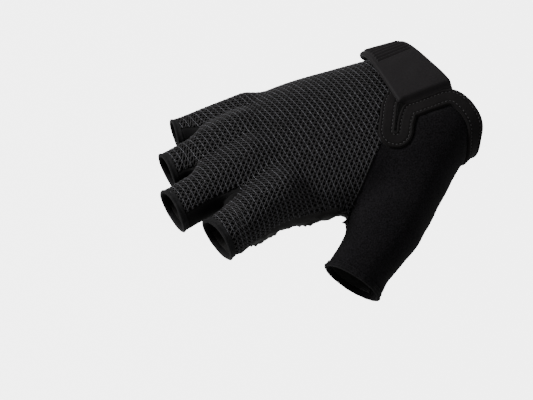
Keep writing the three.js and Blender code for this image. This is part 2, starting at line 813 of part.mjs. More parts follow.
const indexFront = radialEdge(backRows.index)[0];
const littleFront = ulnarEdge(backRows.little)[0];
const backJunction = bodyPoint(thumbSeam[thumbSeam.length - 1]);
const palmJunction = bodyPoint(webSeam[webSeam.length - 1]);
const ulnarStart = wristLine(ulnarSeamWristTurn, panelInset);
const ballStart = wristLine(ballSeamWristTurn, panelInset);
const thumbSeamPoints = settledCurve([seamStart, ...thumbSeam.map(bodyPoint)], thumbSeamSteps);
const indexSeamPoints = settledCurve([backJunction, ...indexSeam.map(bodyPoint), indexFront], indexSeamSteps);
const ulnarSeamPoints = settledCurve([ulnarStart, ...ulnarSeam.map(bodyPoint), littleFront], ulnarSeamSteps);
const webSeamPoints = settledCurve([backJunction, ...webSeam.map(bodyPoint)], webSteps);
const ballSeamPoints = settledCurve([palmJunction, ...ballSeam.map(bodyPoint), ballStart], ballSeamSteps).reverse();

// Pairs the points of two borders into rows, letting one wait where the other has more points.
// Each border has a measure from 0 to 1 that says how far it has come.
function pairUp(a, b, measure) {
  const farA = a.map(measure(a));
  const farB = b.map(measure(b));
  const rows = [[a[0], b[0]]];
  let i = 0;
  let j = 0;
  while (i < a.length - 1 || j < b.length - 1) {
    const moves = [[1, 1, 0], [1, 0, 0.02], [0, 1, 0.02]]
      .filter(([da, db]) => i + da < a.length && j + db < b.length)
      .map(([da, db, cost]) => ({ da, db, cost: cost + Math.abs(farA[i + da] - farB[j + db]) }));
    const best = moves.reduce((x, y) => (y.cost < x.cost ? y : x));
    i += best.da;
    j += best.db;
    rows.push([a[i], b[j]]);
  }
  return rows;
}
const byX = (border) => (point) => (border[0].x - point.x) / (border[0].x - border[border.length - 1].x);
const byCount = (border) => (_, i) => i / (border.length - 1);

const inside = (point) => point.clone().addScaledVector(formNormal(point), -sideTurnDepth);

// Brings the first row onto the line the binding leaves free, and the next rows part of the way
function meetBinding(rows) {
  const last = rows[0].length - 1;
  const moves = rows[0].map((point) => wristLine(turnOf(point), panelInset).sub(point));
  return rows.map((row, i) => row.map((point, j) => {
    if (i >= leanRows || j === 0 || j === last) return point;
    return settle(point.clone().addScaledVector(moves[j], (1 - i / leanRows) ** 1.5));
  }));
}

// Rows over the hand from the seam on the little finger's side to a border on the thumb's side,
// ending in the front row; the last rows lean towards the front row's spacing.
function handRows(rows, front, way) {
  const lengths = [0];
  for (let i = 1; i < front.length; i += 1) lengths.push(lengths[i - 1] + front[i].distanceTo(front[i - 1]));
  const columns = lengths.map((length) => length / lengths[lengths.length - 1]);
  const fan = ([from, to]) => fanRow(from, to, inside(from), inside(to), fingerwards, way, columns);
  const last = rows.length - 1;
  const reference = fan([front[0], front[front.length - 1]]);
  return rows.map((row, i) => {
    if (i === last) return front;
    const lean = Math.max(1 - (last - i) / leanRows, 0) ** 1.5;
    return fan(row).map((point, j) => {
      if (lean === 0 || j === 0 || j === columns.length - 1) return point;
      return settle(point.add(front[j].clone().sub(reference[j]).multiplyScalar(lean)));
    });
  });
}

// Rows across the thumb turn about its bone
const bone = spaceCurve([at(0, thumbHeel.across * halfHand * 0.5, 0), thumb.heel, thumb.ball, thumb.hem, thumb.tip]);
const boneSpots = shares(80).map(bone);
function thumbRow([from, to], way, columns) {
  let nearest = 1;
  for (let i = 1; i < boneSpots.length - 1; i += 1) {
    const reach = (k) => boneSpots[k].distanceTo(from) + boneSpots[k].distanceTo(to);
    if (reach(i) < reach(nearest)) nearest = i;
  }
  const centre = boneSpots[nearest];
  const axis = boneSpots[nearest + 1].clone().sub(boneSpots[nearest - 1]).normalize();
  return fanRow(from, to, centre, centre, axis, way, columns);
}

function backPanel() {
  const border = [...fingerFlank, ...thumbSeamPoints.slice(1), ...indexSeamPoints.slice(1)];
  const body = handRows(pairUp(ulnarSeamPoints, border, byX), frontRow(backRows, 0), 1);
  const sheets = [meetBinding(body), ...stalls.map(({ name }) => backRows[name])];
  return shell(sheets, netWall, seamGap / 2, evenRounds);
}

// The palm turns up the side of the hand over its last two columns
function palmPanel() {
  const border = [...ballSeamPoints, ...webSeamPoints.slice(0, -1).reverse(), ...indexSeamPoints.slice(1)];
  const front = frontRow(palmRows, -1);
  const flatFront = front.slice(0, -2);
  const under = (point) => castOut(at(point.x, point.y + sideTurn, -handDepth / 8), zAxis.clone().negate());
  const edge = border.map((point, i) => (i === border.length - 1 ? flatFront[flatFront.length - 1] : under(point)));
  const pairs = pairUp(ulnarSeamPoints, border, byX);
  const flat = handRows(pairs.map(([from, to]) => [from, edge[border.indexOf(to)]]), flatFront, -1);
  const body = flat.map((row, i) => {
    if (i === flat.length - 1) return front;
    const outerPoint = pairs[i][1];
    return [...row, settle(between(row[row.length - 1], outerPoint, 0.5)), outerPoint];
  });
  const sheets = [meetBinding(body), ...stalls.map(({ name }) => palmRows[name])];
  return shell(sheets, suedeWall, seamGap / 2, evenRounds);
}

// The strip that lines the slot between two fingers: down one stall's side and up the other's
function fourchette({ radial, ulnar, bottom }) {
  const near = stallSheet(radial, radial.ulnarSeam, palmarSeam, radial.ulnarStart, radial.ulnarStart, slotColumns);
  const far = stallSheet(ulnar, -ulnar.radialSeam, -palmarSeam, ulnar.radialStart, ulnar.radialStart, slotColumns);
  return shell([[...near.reverse(), bottom, ...far]], stretchWall);
}

const thumbStop = 1 - (hemWidth + seamGap) / thumbReach;
function thumbEdge(start, turn, count) {
  const first = start.clone().sub(thumb.ball).dot(thumb.axis) / thumbReach;
  const arm = start.clone().sub(thumb.ball);
  const startTurn = THREE.MathUtils.radToDeg(Math.atan2(arm.dot(thumb.side), arm.dot(thumb.up)));
  return shares(count).map((share) => {
    if (share === 0) return start;
    return thumbPoint(lerp(first, thumbStop, share), lerp(startTurn, turn, share ** 0.6));
  });
}
const thumbBackEdge = thumbEdge(backJunction, gussetBack, thumbSteps);
const thumbPalmEdge = thumbEdge(palmJunction, gussetPalm, thumbSteps);

function thumbPanel() {
  const back = [...thumbFlank, ...thumbSeamPoints.slice(1)];
  const onHand = pairUp(back, ballSeamPoints, byCount);
  const onThumb = thumbBackEdge.slice(1).map((point, i) => [point, thumbPalmEdge[i + 1]]);
  const rows = [...onHand, ...onThumb].map((pair) => thumbRow(pair, 1, shares(thumbColumns)));
  return shell([meetBinding(rows)], brushedWall, seamGap / 2, evenRounds);
}

// The crotch piece between thumb and palm, drawn up into gathers where it meets the web
function thumbGusset() {
  const web = spaceCurve(webSeamPoints);
  const rows = thumbBackEdge.map((point, i) => {
    if (i === 0) return shares(gussetColumns).map((share) => settle(web(share)));
    return thumbRow([point, thumbPalmEdge[i]], -1, shares(gussetColumns));
  });
  const start = rows[0].map((point, j) => settle(between(point, rows[1][j], webClearance)));
  start[0] = rows[0][0];
  start[gussetColumns] = rows[0][gussetColumns];
  rows[0] = start;
  rows.forEach((row, i) => row.forEach((point, j) => {
    const across = j / gussetColumns;
    const fade = (1 - i / thumbSteps) ** 2;
    let over = 0;
    for (const fold of gathers) {
      over += fold.height * suedeWall * fade * Math.exp(-(((across - fold.at) / fold.spread) ** 2));
    }
    point.over = over;
    point.under = over - suedeWall;
  }));
  return shell([rows], suedeWall, seamGap / 2 + gatherClearance);
}

// Rolled hems: a rounded ring at the end of each stall
function stallHem(stall) {
  const path = shares(hemSteps).slice(0, -1).map((share) => {
    const turn = share * 360;
    return stallPoint(stall, hemStop(stall, turn, hemWidth / 2), turn);
  });
  return closedBand(path, () => hemSection);
}
function thumbHem() {
  const path = shares(hemSteps).slice(0, -1).map((share) => (
    thumbPoint(1 - hemWidth / 2 / thumbReach, share * 360)));
  return closedBand(path, () => hemSection);
}

// Round the wrist opening from one side of the slit to the other, then down and up the slit
function bindingPath(inset) {
  const round = bindingCorner - inset;
  const corner = (hand) => {
    const meet = slitEdge(slitStepAt(hand, inset, inset), hand, inset);
    const onSlitStep = slitStepAt(hand, inset, inset + round);
    const onWristTurn = turnOf(meet) + hand * THREE.MathUtils.radToDeg(2 * round / wristDepth);
    const onSlit = slitEdge(onSlitStep, hand, inset);
    const onWrist = wristLine(onWristTurn, inset);
    const middle = settle(meet.clone().multiplyScalar(2).add(onSlit).add(onWrist).divideScalar(4));
    return { onSlitStep, onWristTurn, middle };
  };
  const finger = corner(-1);
  const thumbSide = corner(1);
  const wrist = shares(wristSteps).map((share) => (
    wristLine(lerp(thumbSide.onWristTurn, finger.onWristTurn + 360, share), inset)));
  const flank = (hand, from) => shares(2 * flankSteps).slice(0, -1)
    .map((share) => slitEdge(lerp(from, 0, share), hand, inset));
  const loop = shares(8).map((share) => slitLoop(lerp(-90, 90, share), inset));
  return [...wrist, finger.middle, ...flank(-1, finger.onSlitStep), ...loop,
    ...flank(1, thumbSide.onSlitStep).reverse(), thumbSide.middle];
}

// The strap starts at the slit's thumb edge and lies over the back of the wrist
const strapCurves = {};
for (const name of ['along', 'narrow', 'raised']) strapCurves[name] = columnCurve(strapRows, 'share', name);
const strapStartGap = seamGap + strapClearance;

function strapPoint(share, across, turnEnd) {
  const width = lerp(strapWidth, tabWidth, strapCurves.narrow(share));
  const x = -strapCurves.along(share) * palmLength + (across - 0.5) * width;
  const edge = slitEdgeAtX(x);
  const turn = lerp(turnOf(edge), turnEnd, share);
  const angle = degToRad(turn);
  if (share === 0) return edge;
  return castOut(at(x, section.middle(-x), 0), at(0, Math.cos(angle), Math.sin(angle)));
}

// The slit's thumb edge at a given x
function slitEdgeAtX(x) {
  let low = 0;
  let high = slitLine.length - 1;
  for (let i = 0; i < 16; i += 1) {
    const step = (low + high) / 2;
    if (slitEdge(step, 1, -strapStartGap).x < x) low = step;
    else high = step;
  }
  return slitEdge((low + high) / 2, 1, -strapStartGap);
}

// Turn at which the strap's middle line has its length
function strapEndTurn() {
  const start = turnOf(strapPoint(0, 0.5, 0));
  let turn = start;
  let length = 0;
  const on = (angle) => castOut(at(-strapRows[2].along * palmLength, section.middle(0), 0),
    at(0, Math.cos(degToRad(angle)), Math.sin(degToRad(angle))));
  while (length < strapLength) {
    length += on(turn).distanceTo(on(turn - 1));
    turn -= 1;
  }
  return turn;
}

const strapUnder = (share) => {
  const raised = strapCurves.raised(share);
  const resting = lerp(-strapSink, strapRise, Math.min(raised, 1));
  return resting + Math.max(raised - 1, 0) * (patchThickness + 2 * seamGap - strapRise);
};

function wristStrap() {
  const end = strapEndTurn();
  const plain = 1 - (ribCount + 1) * ribPitch / strapLength;
  const ribSteps = 2 * ribCount + 2;
  const ribbed = shares(ribSteps).slice(1).map((share) => lerp(plain, 1, share));
  const lengthwise = [...shares(plainStrapSteps).map((share) => share * plain), ...ribbed];
  const lastRow = lengthwise.length - 1;
  const rows = lengthwise.map((share, i) => shares(strapColumns).map((v, j) => {
    const intoCorner = Math.max(tabCorner - (1 - share) * strapLength, 0);
    const tuck = (tabCorner - Math.sqrt(tabCorner ** 2 - intoCorner ** 2)) / tabWidth;
    const point = strapPoint(share, lerp(tuck, 1 - tuck, v), end);
    const onRib = i > plainStrapSteps && i < lastRow && (i - plainStrapSteps) % 2 === 0;
    const rib = onRib && j > 0 && j < strapColumns ? ribHeight : 0;
    const grown = lerp(strapBaseShare, 1, Math.min(strapCurves.raised(share), 1));
    point.under = strapUnder(share);
    point.over = point.under + grown * strapThickness + rib;
    return point;
  }));
  return shell([rows], strapThickness, 0);
}

function strapFastener() {
  const end = strapEndTurn();
  const from = 1 - (patchLength + tabCorner) / strapLength;
  const to = 1 - tabCorner / strapLength;
  const inset = (1 - patchWidth / tabWidth) / 2;
  const shift = patchShift / tabWidth;
  const rows = shares(5).map((down) => shares(4).map((v) => {
    const share = lerp(from, to, down);
    const point = strapPoint(share, lerp(inset, 1 - inset, v) - shift, end);
    point.over = strapUnder(share) - seamGap;
    point.under = seamGap;
    return point;
  }));
  return shell([rows], patchThickness, 0);
}

const hemSection = roundedSection(hemWidth / 2, hemProud, hemProud - hemHeight, hemWidth * 0.28);
const bindingSection = roundedSection(bindingWidth / 2, bindingProud, -bindingSunk, bindingProud * 0.6);

const pieces = new THREE.Group();
pieces.name = 'riding_glove';

function addPiece(name, geometry, color, roughness) {
  const material = new THREE.MeshStandardMaterial({ color, roughness, metalness: 0 });
  const mesh = new THREE.Mesh(geometry, material);
  mesh.name = name;
  pieces.add(mesh);
}

const netBlack = 0x2b2a2c;
const suedeBlack = 0x1c1b1c;
const stretchBlack = 0x1a191b;
const brushedBlack = 0x121213;
const trimBlack = 0x1d1a1b;
const strapBlack = 0x2c2b2e;

addPiece('back_panel', backPanel(), netBlack, 0.8);
addPiece('palm_panel', palmPanel(), suedeBlack, 0.85);
for (const slot of slots) {
  addPiece(`fourchette_${slot.radial.name}_${slot.ulnar.name}`, fourchette(slot), stretchBlack, 0.7);
}
addPiece('thumb_panel', thumbPanel(), brushedBlack, 0.95);
addPiece('thumb_gusset', thumbGusset(), suedeBlack, 0.85);
for (const stall of stalls) addPiece(`hem_${stall.name}`, stallHem(stall), trimBlack, 0.8);
addPiece('hem_thumb', thumbHem(), trimBlack, 0.8);
addPiece('cuff_binding', closedBand(bindingPath(bindingWidth / 2), () => bindingSection), trimBlack, 0.7);
addPiece('wrist_strap', wristStrap(), strapBlack, 0.75);
addPiece('strap_fastener', strapFastener(), stretchBlack, 0.9);

export default pieces;
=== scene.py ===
import math

import bpy
import numpy as np
from mathutils import Matrix


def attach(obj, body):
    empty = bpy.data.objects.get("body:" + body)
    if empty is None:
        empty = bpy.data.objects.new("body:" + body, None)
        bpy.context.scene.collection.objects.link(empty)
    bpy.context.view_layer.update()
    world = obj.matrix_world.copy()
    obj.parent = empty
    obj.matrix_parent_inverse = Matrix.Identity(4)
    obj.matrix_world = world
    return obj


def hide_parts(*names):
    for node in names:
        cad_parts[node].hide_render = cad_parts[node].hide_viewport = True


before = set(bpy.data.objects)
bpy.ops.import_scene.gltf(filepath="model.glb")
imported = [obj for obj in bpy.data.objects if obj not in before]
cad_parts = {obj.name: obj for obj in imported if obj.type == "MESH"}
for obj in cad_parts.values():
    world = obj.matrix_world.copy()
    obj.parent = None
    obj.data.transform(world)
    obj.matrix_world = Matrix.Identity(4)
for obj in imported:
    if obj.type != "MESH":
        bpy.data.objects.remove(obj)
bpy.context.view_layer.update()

# Lengths are in millimetres until a mesh is made. The origin is the middle of the wrist opening,
# x points up the forearm, y to the little finger, z out of the back of the hand.
metre = 0.001

# Size of the hand form
palmLength = 84
handWidth = 67
handDepth = 26.5
wristWidth = 52.5
wristDepth = 37
edgeRoundness = 2.3
palmBlend = 6
crotchRounding = 4
slotGap = 2.6
slotBlend = 1.2
thumbBlend = 7
halfHand = handWidth / 2
halfWrist = wristWidth / 2

# along, shift, rise, spread, back, palm, arch of the form's sections, in the solids' own shares
handSections = np.array([
    (-0.17, 0.010, 0, 0.05, 1.1, 1.1, 0),
    (0, 0.013, 0, 0, 1, 1, 0),
    (0.21, 0.022, 0.02, 0.14, 0.71, 0.81, 0.02),
    (0.45, 0.034, 0.02, 0.56, 0.43, 0.62, 0.11),
    (0.71, 0.045, 0.02, 1, 0.24, 0.43, 0.23),
    (0.98, 0.045, -0.02, 1, -0.05, 0.05, 0.26),
    (1.17, 0.060, -0.08, 0.93, -0.43, -0.62, 0.28),
    (1.33, 0.067, -0.11, 0.7, -0.81, -1, 0.26),
])

# across, along of the line where the palm ends
crotchLine = np.array([(-1.3, 1.19), (-0.42, 1.255), (0.14, 1.31), (0.72, 1.205), (1.3, 1.095)])

# reach, width, root along, across, rise, droop, fullness, depth, roll of each stall
stallRows = {
    "index": (32.5, 18.8, 1, -0.66, 0.06, 0.17, 1, 1.28, -8),
    "middle": (39, 18.4, 1.048, -0.12, 0.075, 0.154, 0.98, 1.3, 0),
    "ring": (34, 17.2, 1.024, 0.39, 0.02, 0.19, 0.98, 1.31, 8),
    "little": (30.5, 15.2, 0.929, 0.815, -0.15, 0.164, 0.98, 1.14, 18),
}
middleHemAcross = -0.167

# Thumb
thumbReach = 30.6
thumbWidth = 22.4
thumbRootWidth = 29.2
thumbSplay = 32.2
thumbDrop = 19
thumbHeel = (0.2, -0.5, -0.1)
thumbHeelWidth = 0.8
thumbBall = (0.524, -1.14, -0.566)
thumbTipPast = 0.85
thumbTipWidth = 0.94

# Hems and binding
hemWidth = 2.4
hemBow = 0.9
bindingWidth = 6.5
bindingProud = 0.8
bindingSunk = 1.3
bindingCorner = 7
slitEndGap = 0.5
slitWristGap = 5

# turn, along of the wrist edge
wristEdge = np.array([
    (-100, 0.03), (-40, 0.08), (0, 0.115), (50, 0.095), (84, 0.06), (114, 0.03), (138, -0.024),
    (158, -0.045), (180, -0.02), (215, 0.01), (260, 0.03),
])

# along, across, opening of the slit from its closed end to the wrist
slitLine = np.array([
    (0.392, -0.7, 0), (0.356, -0.5, 0), (0.302, -0.275, 0.38), (0.235, -0.215, 0.85),
    (0.13, -0.2, 1), (-0.08, -0.2, 1),
])

# share, along, narrow, raised of the strap
strapRows = np.array([
    (0, 0.165, 0.25, 0.55), (0.05, 0.176, 0.03, 1), (0.5, 0.205, 0.45, 1),
    (0.75, 0.215, 0.75, 1.7), (1, 0.224, 1, 2),
])
strapThickness = 2.3
strapRise = 1.1
strapLength = 44
strapWidth = 23.5
tabWidth = 16
patchThickness = 1.2
seamGap = 0.3
strapGap = 0.45


def unit(v):
    # A vector divided by its own length
    return v / np.maximum(np.linalg.norm(v, axis=-1, keepdims=True), 1e-9)


def dot(a, b):
    # Sum of products over the last axis
    return (a * b).sum(-1)


def lerp(a, b, share):
    return a + (b - a) * share


def columnCurve(knots, values):
    # Cubic pieces through the values, whose slopes come from each knot's neighbours
    knots, values = np.asarray(knots, float), np.asarray(values, float)
    last = len(knots) - 1
    before = np.maximum(np.arange(last + 1) - 1, 0)
    after = np.minimum(np.arange(last + 1) + 1, last)
    wide = values.ndim > 1
    span = (knots[after] - knots[before])[:, None] if wide else knots[after] - knots[before]
    slopes = (values[after] - values[before]) / span

    def curve(where):
        t = np.clip(where, knots[0], knots[-1])
        i = np.clip(np.searchsorted(knots, t) - 1, 0, last - 1)
        h = knots[i + 1] - knots[i]
        s = (t - knots[i]) / h
        if wide:
            h, s = h[..., None], s[..., None]
        bend = s * s * (3 - 2 * s)
        pulls = s * (1 - s) ** 2 * h * slopes[i] - s * s * (1 - s) * h * slopes[i + 1]
        return lerp(values[i], values[i + 1], bend) + pulls

    return curve


sectionKnots = handSections[:, 0] * palmLength
sectionMiddle = columnCurve(sectionKnots, handSections[:, 1] * handWidth)
sectionRise = columnCurve(sectionKnots, handSections[:, 2] * handDepth)
sectionHalf = columnCurve(sectionKnots, lerp(halfWrist, halfHand, handSections[:, 3]))
sectionBack = columnCurve(sectionKnots, lerp(handDepth, wristDepth, handSections[:, 4]) / 2)
sectionPalm = columnCurve(sectionKnots, lerp(handDepth, wristDepth, handSections[:, 5]) / 2)
sectionArch = columnCurve(sectionKnots, handSections[:, 6] * handDepth)
crotchAlong = columnCurve(crotchLine[:, 0] * halfHand, crotchLine[:, 1] * palmLength)
up = np.array([0.0, 0, 1])


def makeStall(name, hemY):
    # A tube from its root to its hem, with its own side and up directions turned by its roll
    reach, width, along, across, rise, droop, fullness, depth, roll = stallRows[name]
    middle = float(sectionMiddle(np.array(palmLength)))
    root = np.array([-along * palmLength, across * halfHand + middle, rise * handDepth])
    hem = np.array([root[0] - reach, hemY, root[2] - droop * reach])
    axis = unit(hem - root)
    flat = unit(np.cross(axis, up))
    top = np.cross(flat, axis)
    turn = math.radians(roll)
    return dict(
        name=name, root=root, hem=hem, axis=axis,
        up=top * math.cos(turn) + flat * math.sin(turn),
        side=flat * math.cos(turn) - top * math.sin(turn),
        length=float(np.linalg.norm(hem - root)),
        rootHalf=width * fullness / 2, hemHalf=width / 2, rootHigh=width * depth / 2,
    )


def makeStalls():
    width = {name: row[1] for name, row in stallRows.items()}
    middleY = middleHemAcross * halfHand
    indexY = middleY - (width["index"] + width["middle"]) / 2 - slotGap
    ringY = middleY + (width["middle"] + width["ring"]) / 2 + slotGap
    littleY = ringY + (width["ring"] + width["little"]) / 2 + slotGap
    places = zip(stallRows, (indexY, middleY, ringY, littleY))
    return [makeStall(name, hemY) for name, hemY in places]


def makeThumb():
    # Four joints with a radius each, from the heel of the hand to past the hem
    sizes = np.array([-palmLength, halfHand, handDepth])
    heel, ball = np.array(thumbHeel) * sizes, np.array(thumbBall) * sizes
    splay, drop = math.radians(thumbSplay), math.radians(thumbDrop)
    flat = math.cos(drop)
    axis = np.array([-math.cos(splay) * flat, -math.sin(splay) * flat, -math.sin(drop)])
    hem = ball + axis * thumbReach
    tip = hem + axis * thumbReach * thumbTipPast
    side = unit(np.cross(axis, up))
    widths = (wristDepth * thumbHeelWidth, thumbRootWidth, thumbWidth, thumbWidth * thumbTipWidth)
    return dict(ball=ball, hem=hem, axis=axis, side=side, up=np.cross(side, axis),
                joints=[heel, ball, hem, tip], radii=[w / 2 for w in widths])


stalls = makeStalls()
thumb = makeThumb()


def smoothMin(a, b, reach):
    # The lesser of two distances, with the corner between them rounded over reach
    h = np.clip(0.5 + 0.5 * (b - a) / reach, 0, 1)
    return lerp(b, a, h) - reach * h * (1 - h)


def stallDistance(stall, points):
    # Distance to an ellipse that narrows along the stall, rounded over behind the root
    offset = points - stall["root"]
    along = offset @ stall["axis"]
    share = np.clip(along / stall["length"], 0, 1)
    half = lerp(stall["rootHalf"], stall["hemHalf"], share)
    high = lerp(stall["rootHigh"], stall["hemHalf"], share)
    side, top = offset @ stall["side"] / half, offset @ stall["up"] / high
    behind = np.minimum(along, 0) / half
    size = np.sqrt(side**2 + top**2 + behind**2)
    slope = np.sqrt((side / half) ** 2 + (top / high) ** 2 + (behind / half) ** 2)
    slope = slope / np.maximum(size, 1e-6)
    return (size - 1) / np.maximum(slope, 1 / np.maximum(half, high))


def thumbDistance(points):
    # Distance to cones joined end to end
    distance = None
    for i in range(3):
        a, bone = thumb["joints"][i], thumb["joints"][i + 1] - thumb["joints"][i]
        offset = points - a
        share = np.clip(offset @ bone / (bone @ bone), 0, 1)
        away = np.linalg.norm(offset - share[..., None] * bone, axis=-1)
        cone = away - lerp(thumb["radii"][i], thumb["radii"][i + 1], share)
        distance = cone if distance is None else smoothMin(distance, cone, palmBlend)
    return distance


def palmDistance(points):
    # Distance to a rounded section whose edges hang, cut off at the finger crotches
    x, y, z = points[..., 0], points[..., 1], points[..., 2]
    half = sectionHalf(-x)
    across = (y - sectionMiddle(-x)) / half
    over = z - sectionRise(-x) + sectionArch(-x) * np.minimum(across**2, 1.5)
    high = np.where(over > 0, sectionBack(-x), sectionPalm(-x))
    a, b = np.abs(across) + 1e-6, np.abs(over / high) + 1e-6
    size = (a**edgeRoundness + b**edgeRoundness) ** (1 / edgeRoundness)
    power = edgeRoundness - 1
    slope = np.hypot((a / size) ** power / half, (b / size) ** power / high)
    return -smoothMin(-(size - 1) / slope, crotchAlong(y) + x, crotchRounding)


def plainForm(points):
    # Distance to the hand form of the solids, below 0 inside
    fingers = stallDistance(stalls[0], points)
    for stall in stalls[1:]:
        fingers = smoothMin(fingers, stallDistance(stall, points), slotBlend)
    hand = smoothMin(palmDistance(points), fingers, palmBlend)
    return smoothMin(hand, thumbDistance(points), thumbBlend)


# Place, depth and reach of each shallow dent, where the cloth lies closer than the solids
dents = (((-34.5, -49, -20), 1.7, 7.0), ((-87, -29.5, -10.5), 1.7, 6.0))


def form(points):
    # Distance to the form that the cloth follows: the plain one, raised round each dent by a
    # bell curve of its reach
    distance = plainForm(points)
    for place, depth, reach in dents:
        offset = points - np.array(place)
        distance = distance + depth * np.exp(-dot(offset, offset) / (2 * reach**2))
    return distance


corners = np.array([(1, -1, -1), (-1, -1, 1), (-1, 1, -1), (1, 1, 1)], float)
slopeStep = 0.05


def formSlope(points):
    # Rise of the distance per millimetre, from the four corners of a small tetrahedron
    total = np.zeros_like(points)
    for corner in corners:
        total += form(points + corner * slopeStep)[..., None] * corner
    return total / (4 * slopeStep)


def formNormal(points):
    return unit(formSlope(points))


def settle(points, level=0, rounds=6):
    # Slides points along the form's slope until the distance is level
    spots = np.array(points, float)
    for _ in range(rounds):
        slope = formSlope(spots)
        off = form(spots) - level
        spots = spots - (0.9 * off / np.maximum(dot(slope, slope), 0.1))[..., None] * slope
    return spots


# Rounds, share of the distance taken a round, longest steps and greatest depth of the two walks
outWalk = dict(rounds=40, share=0.9, most=4)
inWalk = dict(rounds=26, share=0.85, back=-4, most=6, deepest=34)


def castOut(origin, direction):
    # Walks from inside the form along a direction to its surface
    ray = unit(direction)
    reach = np.ones(np.broadcast_shapes(origin.shape, ray.shape)[:-1])
    for _ in range(outWalk["rounds"]):
        off = form(origin + ray * reach[..., None])
        reach = reach - outWalk["share"] * np.clip(off, -outWalk["most"], outWalk["most"])
    return origin + ray * reach[..., None]


waveCount = 7


def wave(points, size, seed):
    # Smooth random waves from about -1 to 1: sines in seeded directions, about size long
    chance = np.random.default_rng(seed)
    directions = unit(chance.normal(size=(waveCount, 3)))
    lengths = size * chance.uniform(0.7, 1.6, waveCount)
    starts = chance.uniform(0, 2 * math.pi, waveCount)
    turns = points @ (directions / lengths[:, None]).T * 2 * math.pi + starts
    return np.sin(turns).sum(-1) / waveCount**0.5 / 1.4


def ease(low, high, value):
    # Rises smoothly from 0 at low to 1 at high
    s = np.clip((value - low) / (high - low), 0, 1)
    return s * s * (3 - 2 * s)


def stack(x, y, z):
    return np.stack(np.broadcast_arrays(x, y, z), -1).astype(float)


def arcLength(points):
    # Length along a line of points, from 0 at its first
    return np.r_[0, np.cumsum(np.linalg.norm(np.diff(points, axis=0), axis=1))]


def sideways(path):
    # Over the cloth and square to a closed path: the way ahead crossed with the form's normal
    ahead = np.roll(path, -1, 0) - np.roll(path, 1, 0)
    return unit(np.cross(unit(ahead), formNormal(path)))


# Wrist edge and slit

wristCurve = columnCurve(wristEdge[:, 0], -wristEdge[:, 1] * palmLength)


def wristX(turn):
    return wristCurve(np.mod(turn - wristEdge[0, 0], 360) + wristEdge[0, 0])


def aroundWrist(x, turn):
    # The form's surface at x, in the direction that turn gives about the section's middle
    angle = np.radians(turn)
    return castOut(stack(x, sectionMiddle(-x), 0), stack(0, np.cos(angle), np.sin(angle)))


def wristPoint(turn):
    return aroundWrist(wristX(turn), turn)


def wristLine(turn, inset):
    # The wrist edge moved over the cloth by inset
    points = wristPoint(turn)
    tangent = unit(wristPoint(turn + 1) - wristPoint(turn - 1))
    side = np.cross(tangent, formNormal(points))
    side = np.where(side[..., :1] > 0, -side, side)
    return settle(points + side * inset)


slitSteps = np.arange(len(slitLine))
slitPlace = columnCurve(slitSteps, slitLine)


def slitMiddle(step):
    row = slitPlace(np.asarray(step, float))
    return settle(stack(-row[..., 0] * palmLength, row[..., 1] * halfWrist, wristDepth / 2), rounds=14)


def slitSide(step):
    step = np.asarray(step, float)
    tangent = slitMiddle(step + 0.05) - slitMiddle(np.maximum(step - 0.05, 0))
    return unit(np.cross(unit(tangent), formNormal(slitMiddle(step))))


def slitEdge(step, hand, inset):
    # The slit's finger side (hand -1) or thumb side (hand 1), moved away from it by inset
    opening = slitPlace(np.asarray(step, float))[..., 2]
    half = lerp(slitEndGap, slitWristGap, opening) / 2
    return settle(slitMiddle(step) + slitSide(step) * (hand * (half + inset))[..., None])


def slitLoop(turn, inset):
    # Round the slit's closed end, from -90 on the finger side to 90 on the thumb side
    side = slitSide(0.0)
    back = unit(np.cross(formNormal(slitMiddle(0.0)), side))
    back = -back if back[0] > 0 else back
    angle = np.radians(turn)[..., None]
    ray = back * np.cos(angle) + side * np.sin(angle)
    return settle(slitMiddle(0.0) + ray * (slitEndGap / 2 + inset))


def turnOf(points):
    return np.degrees(np.arctan2(points[..., 2], points[..., 1] - sectionMiddle(-points[..., 0])))


def slitStepAt(hand, inset, fromWrist):
    # Where the line along the slit comes within fromWrist of the wrist edge
    steps = np.linspace(1, len(slitLine) - 1, 300)
    points = slitEdge(steps, hand, inset)
    turn = turnOf(points)
    away = np.linalg.norm(points - wristPoint(turn), axis=-1)
    away = away * np.sign(wristX(turn) - points[..., 0])
    return float(np.interp(-fromWrist, -away, steps))


def bindingPath(inset, count):
    # Round the wrist edge, then down and up the slit, as one closed smooth path with even steps
    bend = bindingCorner - inset

    def corner(hand):
        meet = slitEdge(slitStepAt(hand, inset, inset), hand, inset)
        slitAt = slitStepAt(hand, inset, inset + bend)
        wristTurn = float(turnOf(meet)) + hand * math.degrees(2 * bend / wristDepth)
        onWrist = wristLine(np.array(wristTurn), inset)
        middle = settle((2 * meet + slitEdge(slitAt, hand, inset) + onWrist) / 4)
        return slitAt, wristTurn, middle

    fingerStep, fingerTurn, fingerMiddle = corner(-1)
    thumbStep, thumbTurn, thumbMiddle = corner(1)
    wrist = wristLine(np.linspace(thumbTurn, fingerTurn + 360, 40), inset)
    down = slitEdge(np.linspace(fingerStep, 0, 13)[:-1], -1, inset)
    loop = slitLoop(np.linspace(-90, 90, 9), inset)
    back = slitEdge(np.linspace(0, thumbStep, 13)[1:], 1, inset)
    return evenly(np.vstack([wrist, fingerMiddle[None], down, loop, back, thumbMiddle[None]]), count)


def evenly(points, count):
    # A smooth closed curve through the points, sampled in even steps of its length
    loop = np.vstack([points[-3:], points, points[:3]])
    along = arcLength(loop)
    fine = columnCurve(along, loop)(np.linspace(along[3], along[-3], 3000))
    length = arcLength(fine)
    wanted = np.linspace(0, length[-1], count + 1)[:count]
    return np.stack([np.interp(wanted, length, fine[:, i]) for i in range(3)], -1)


# Meshes and finishes


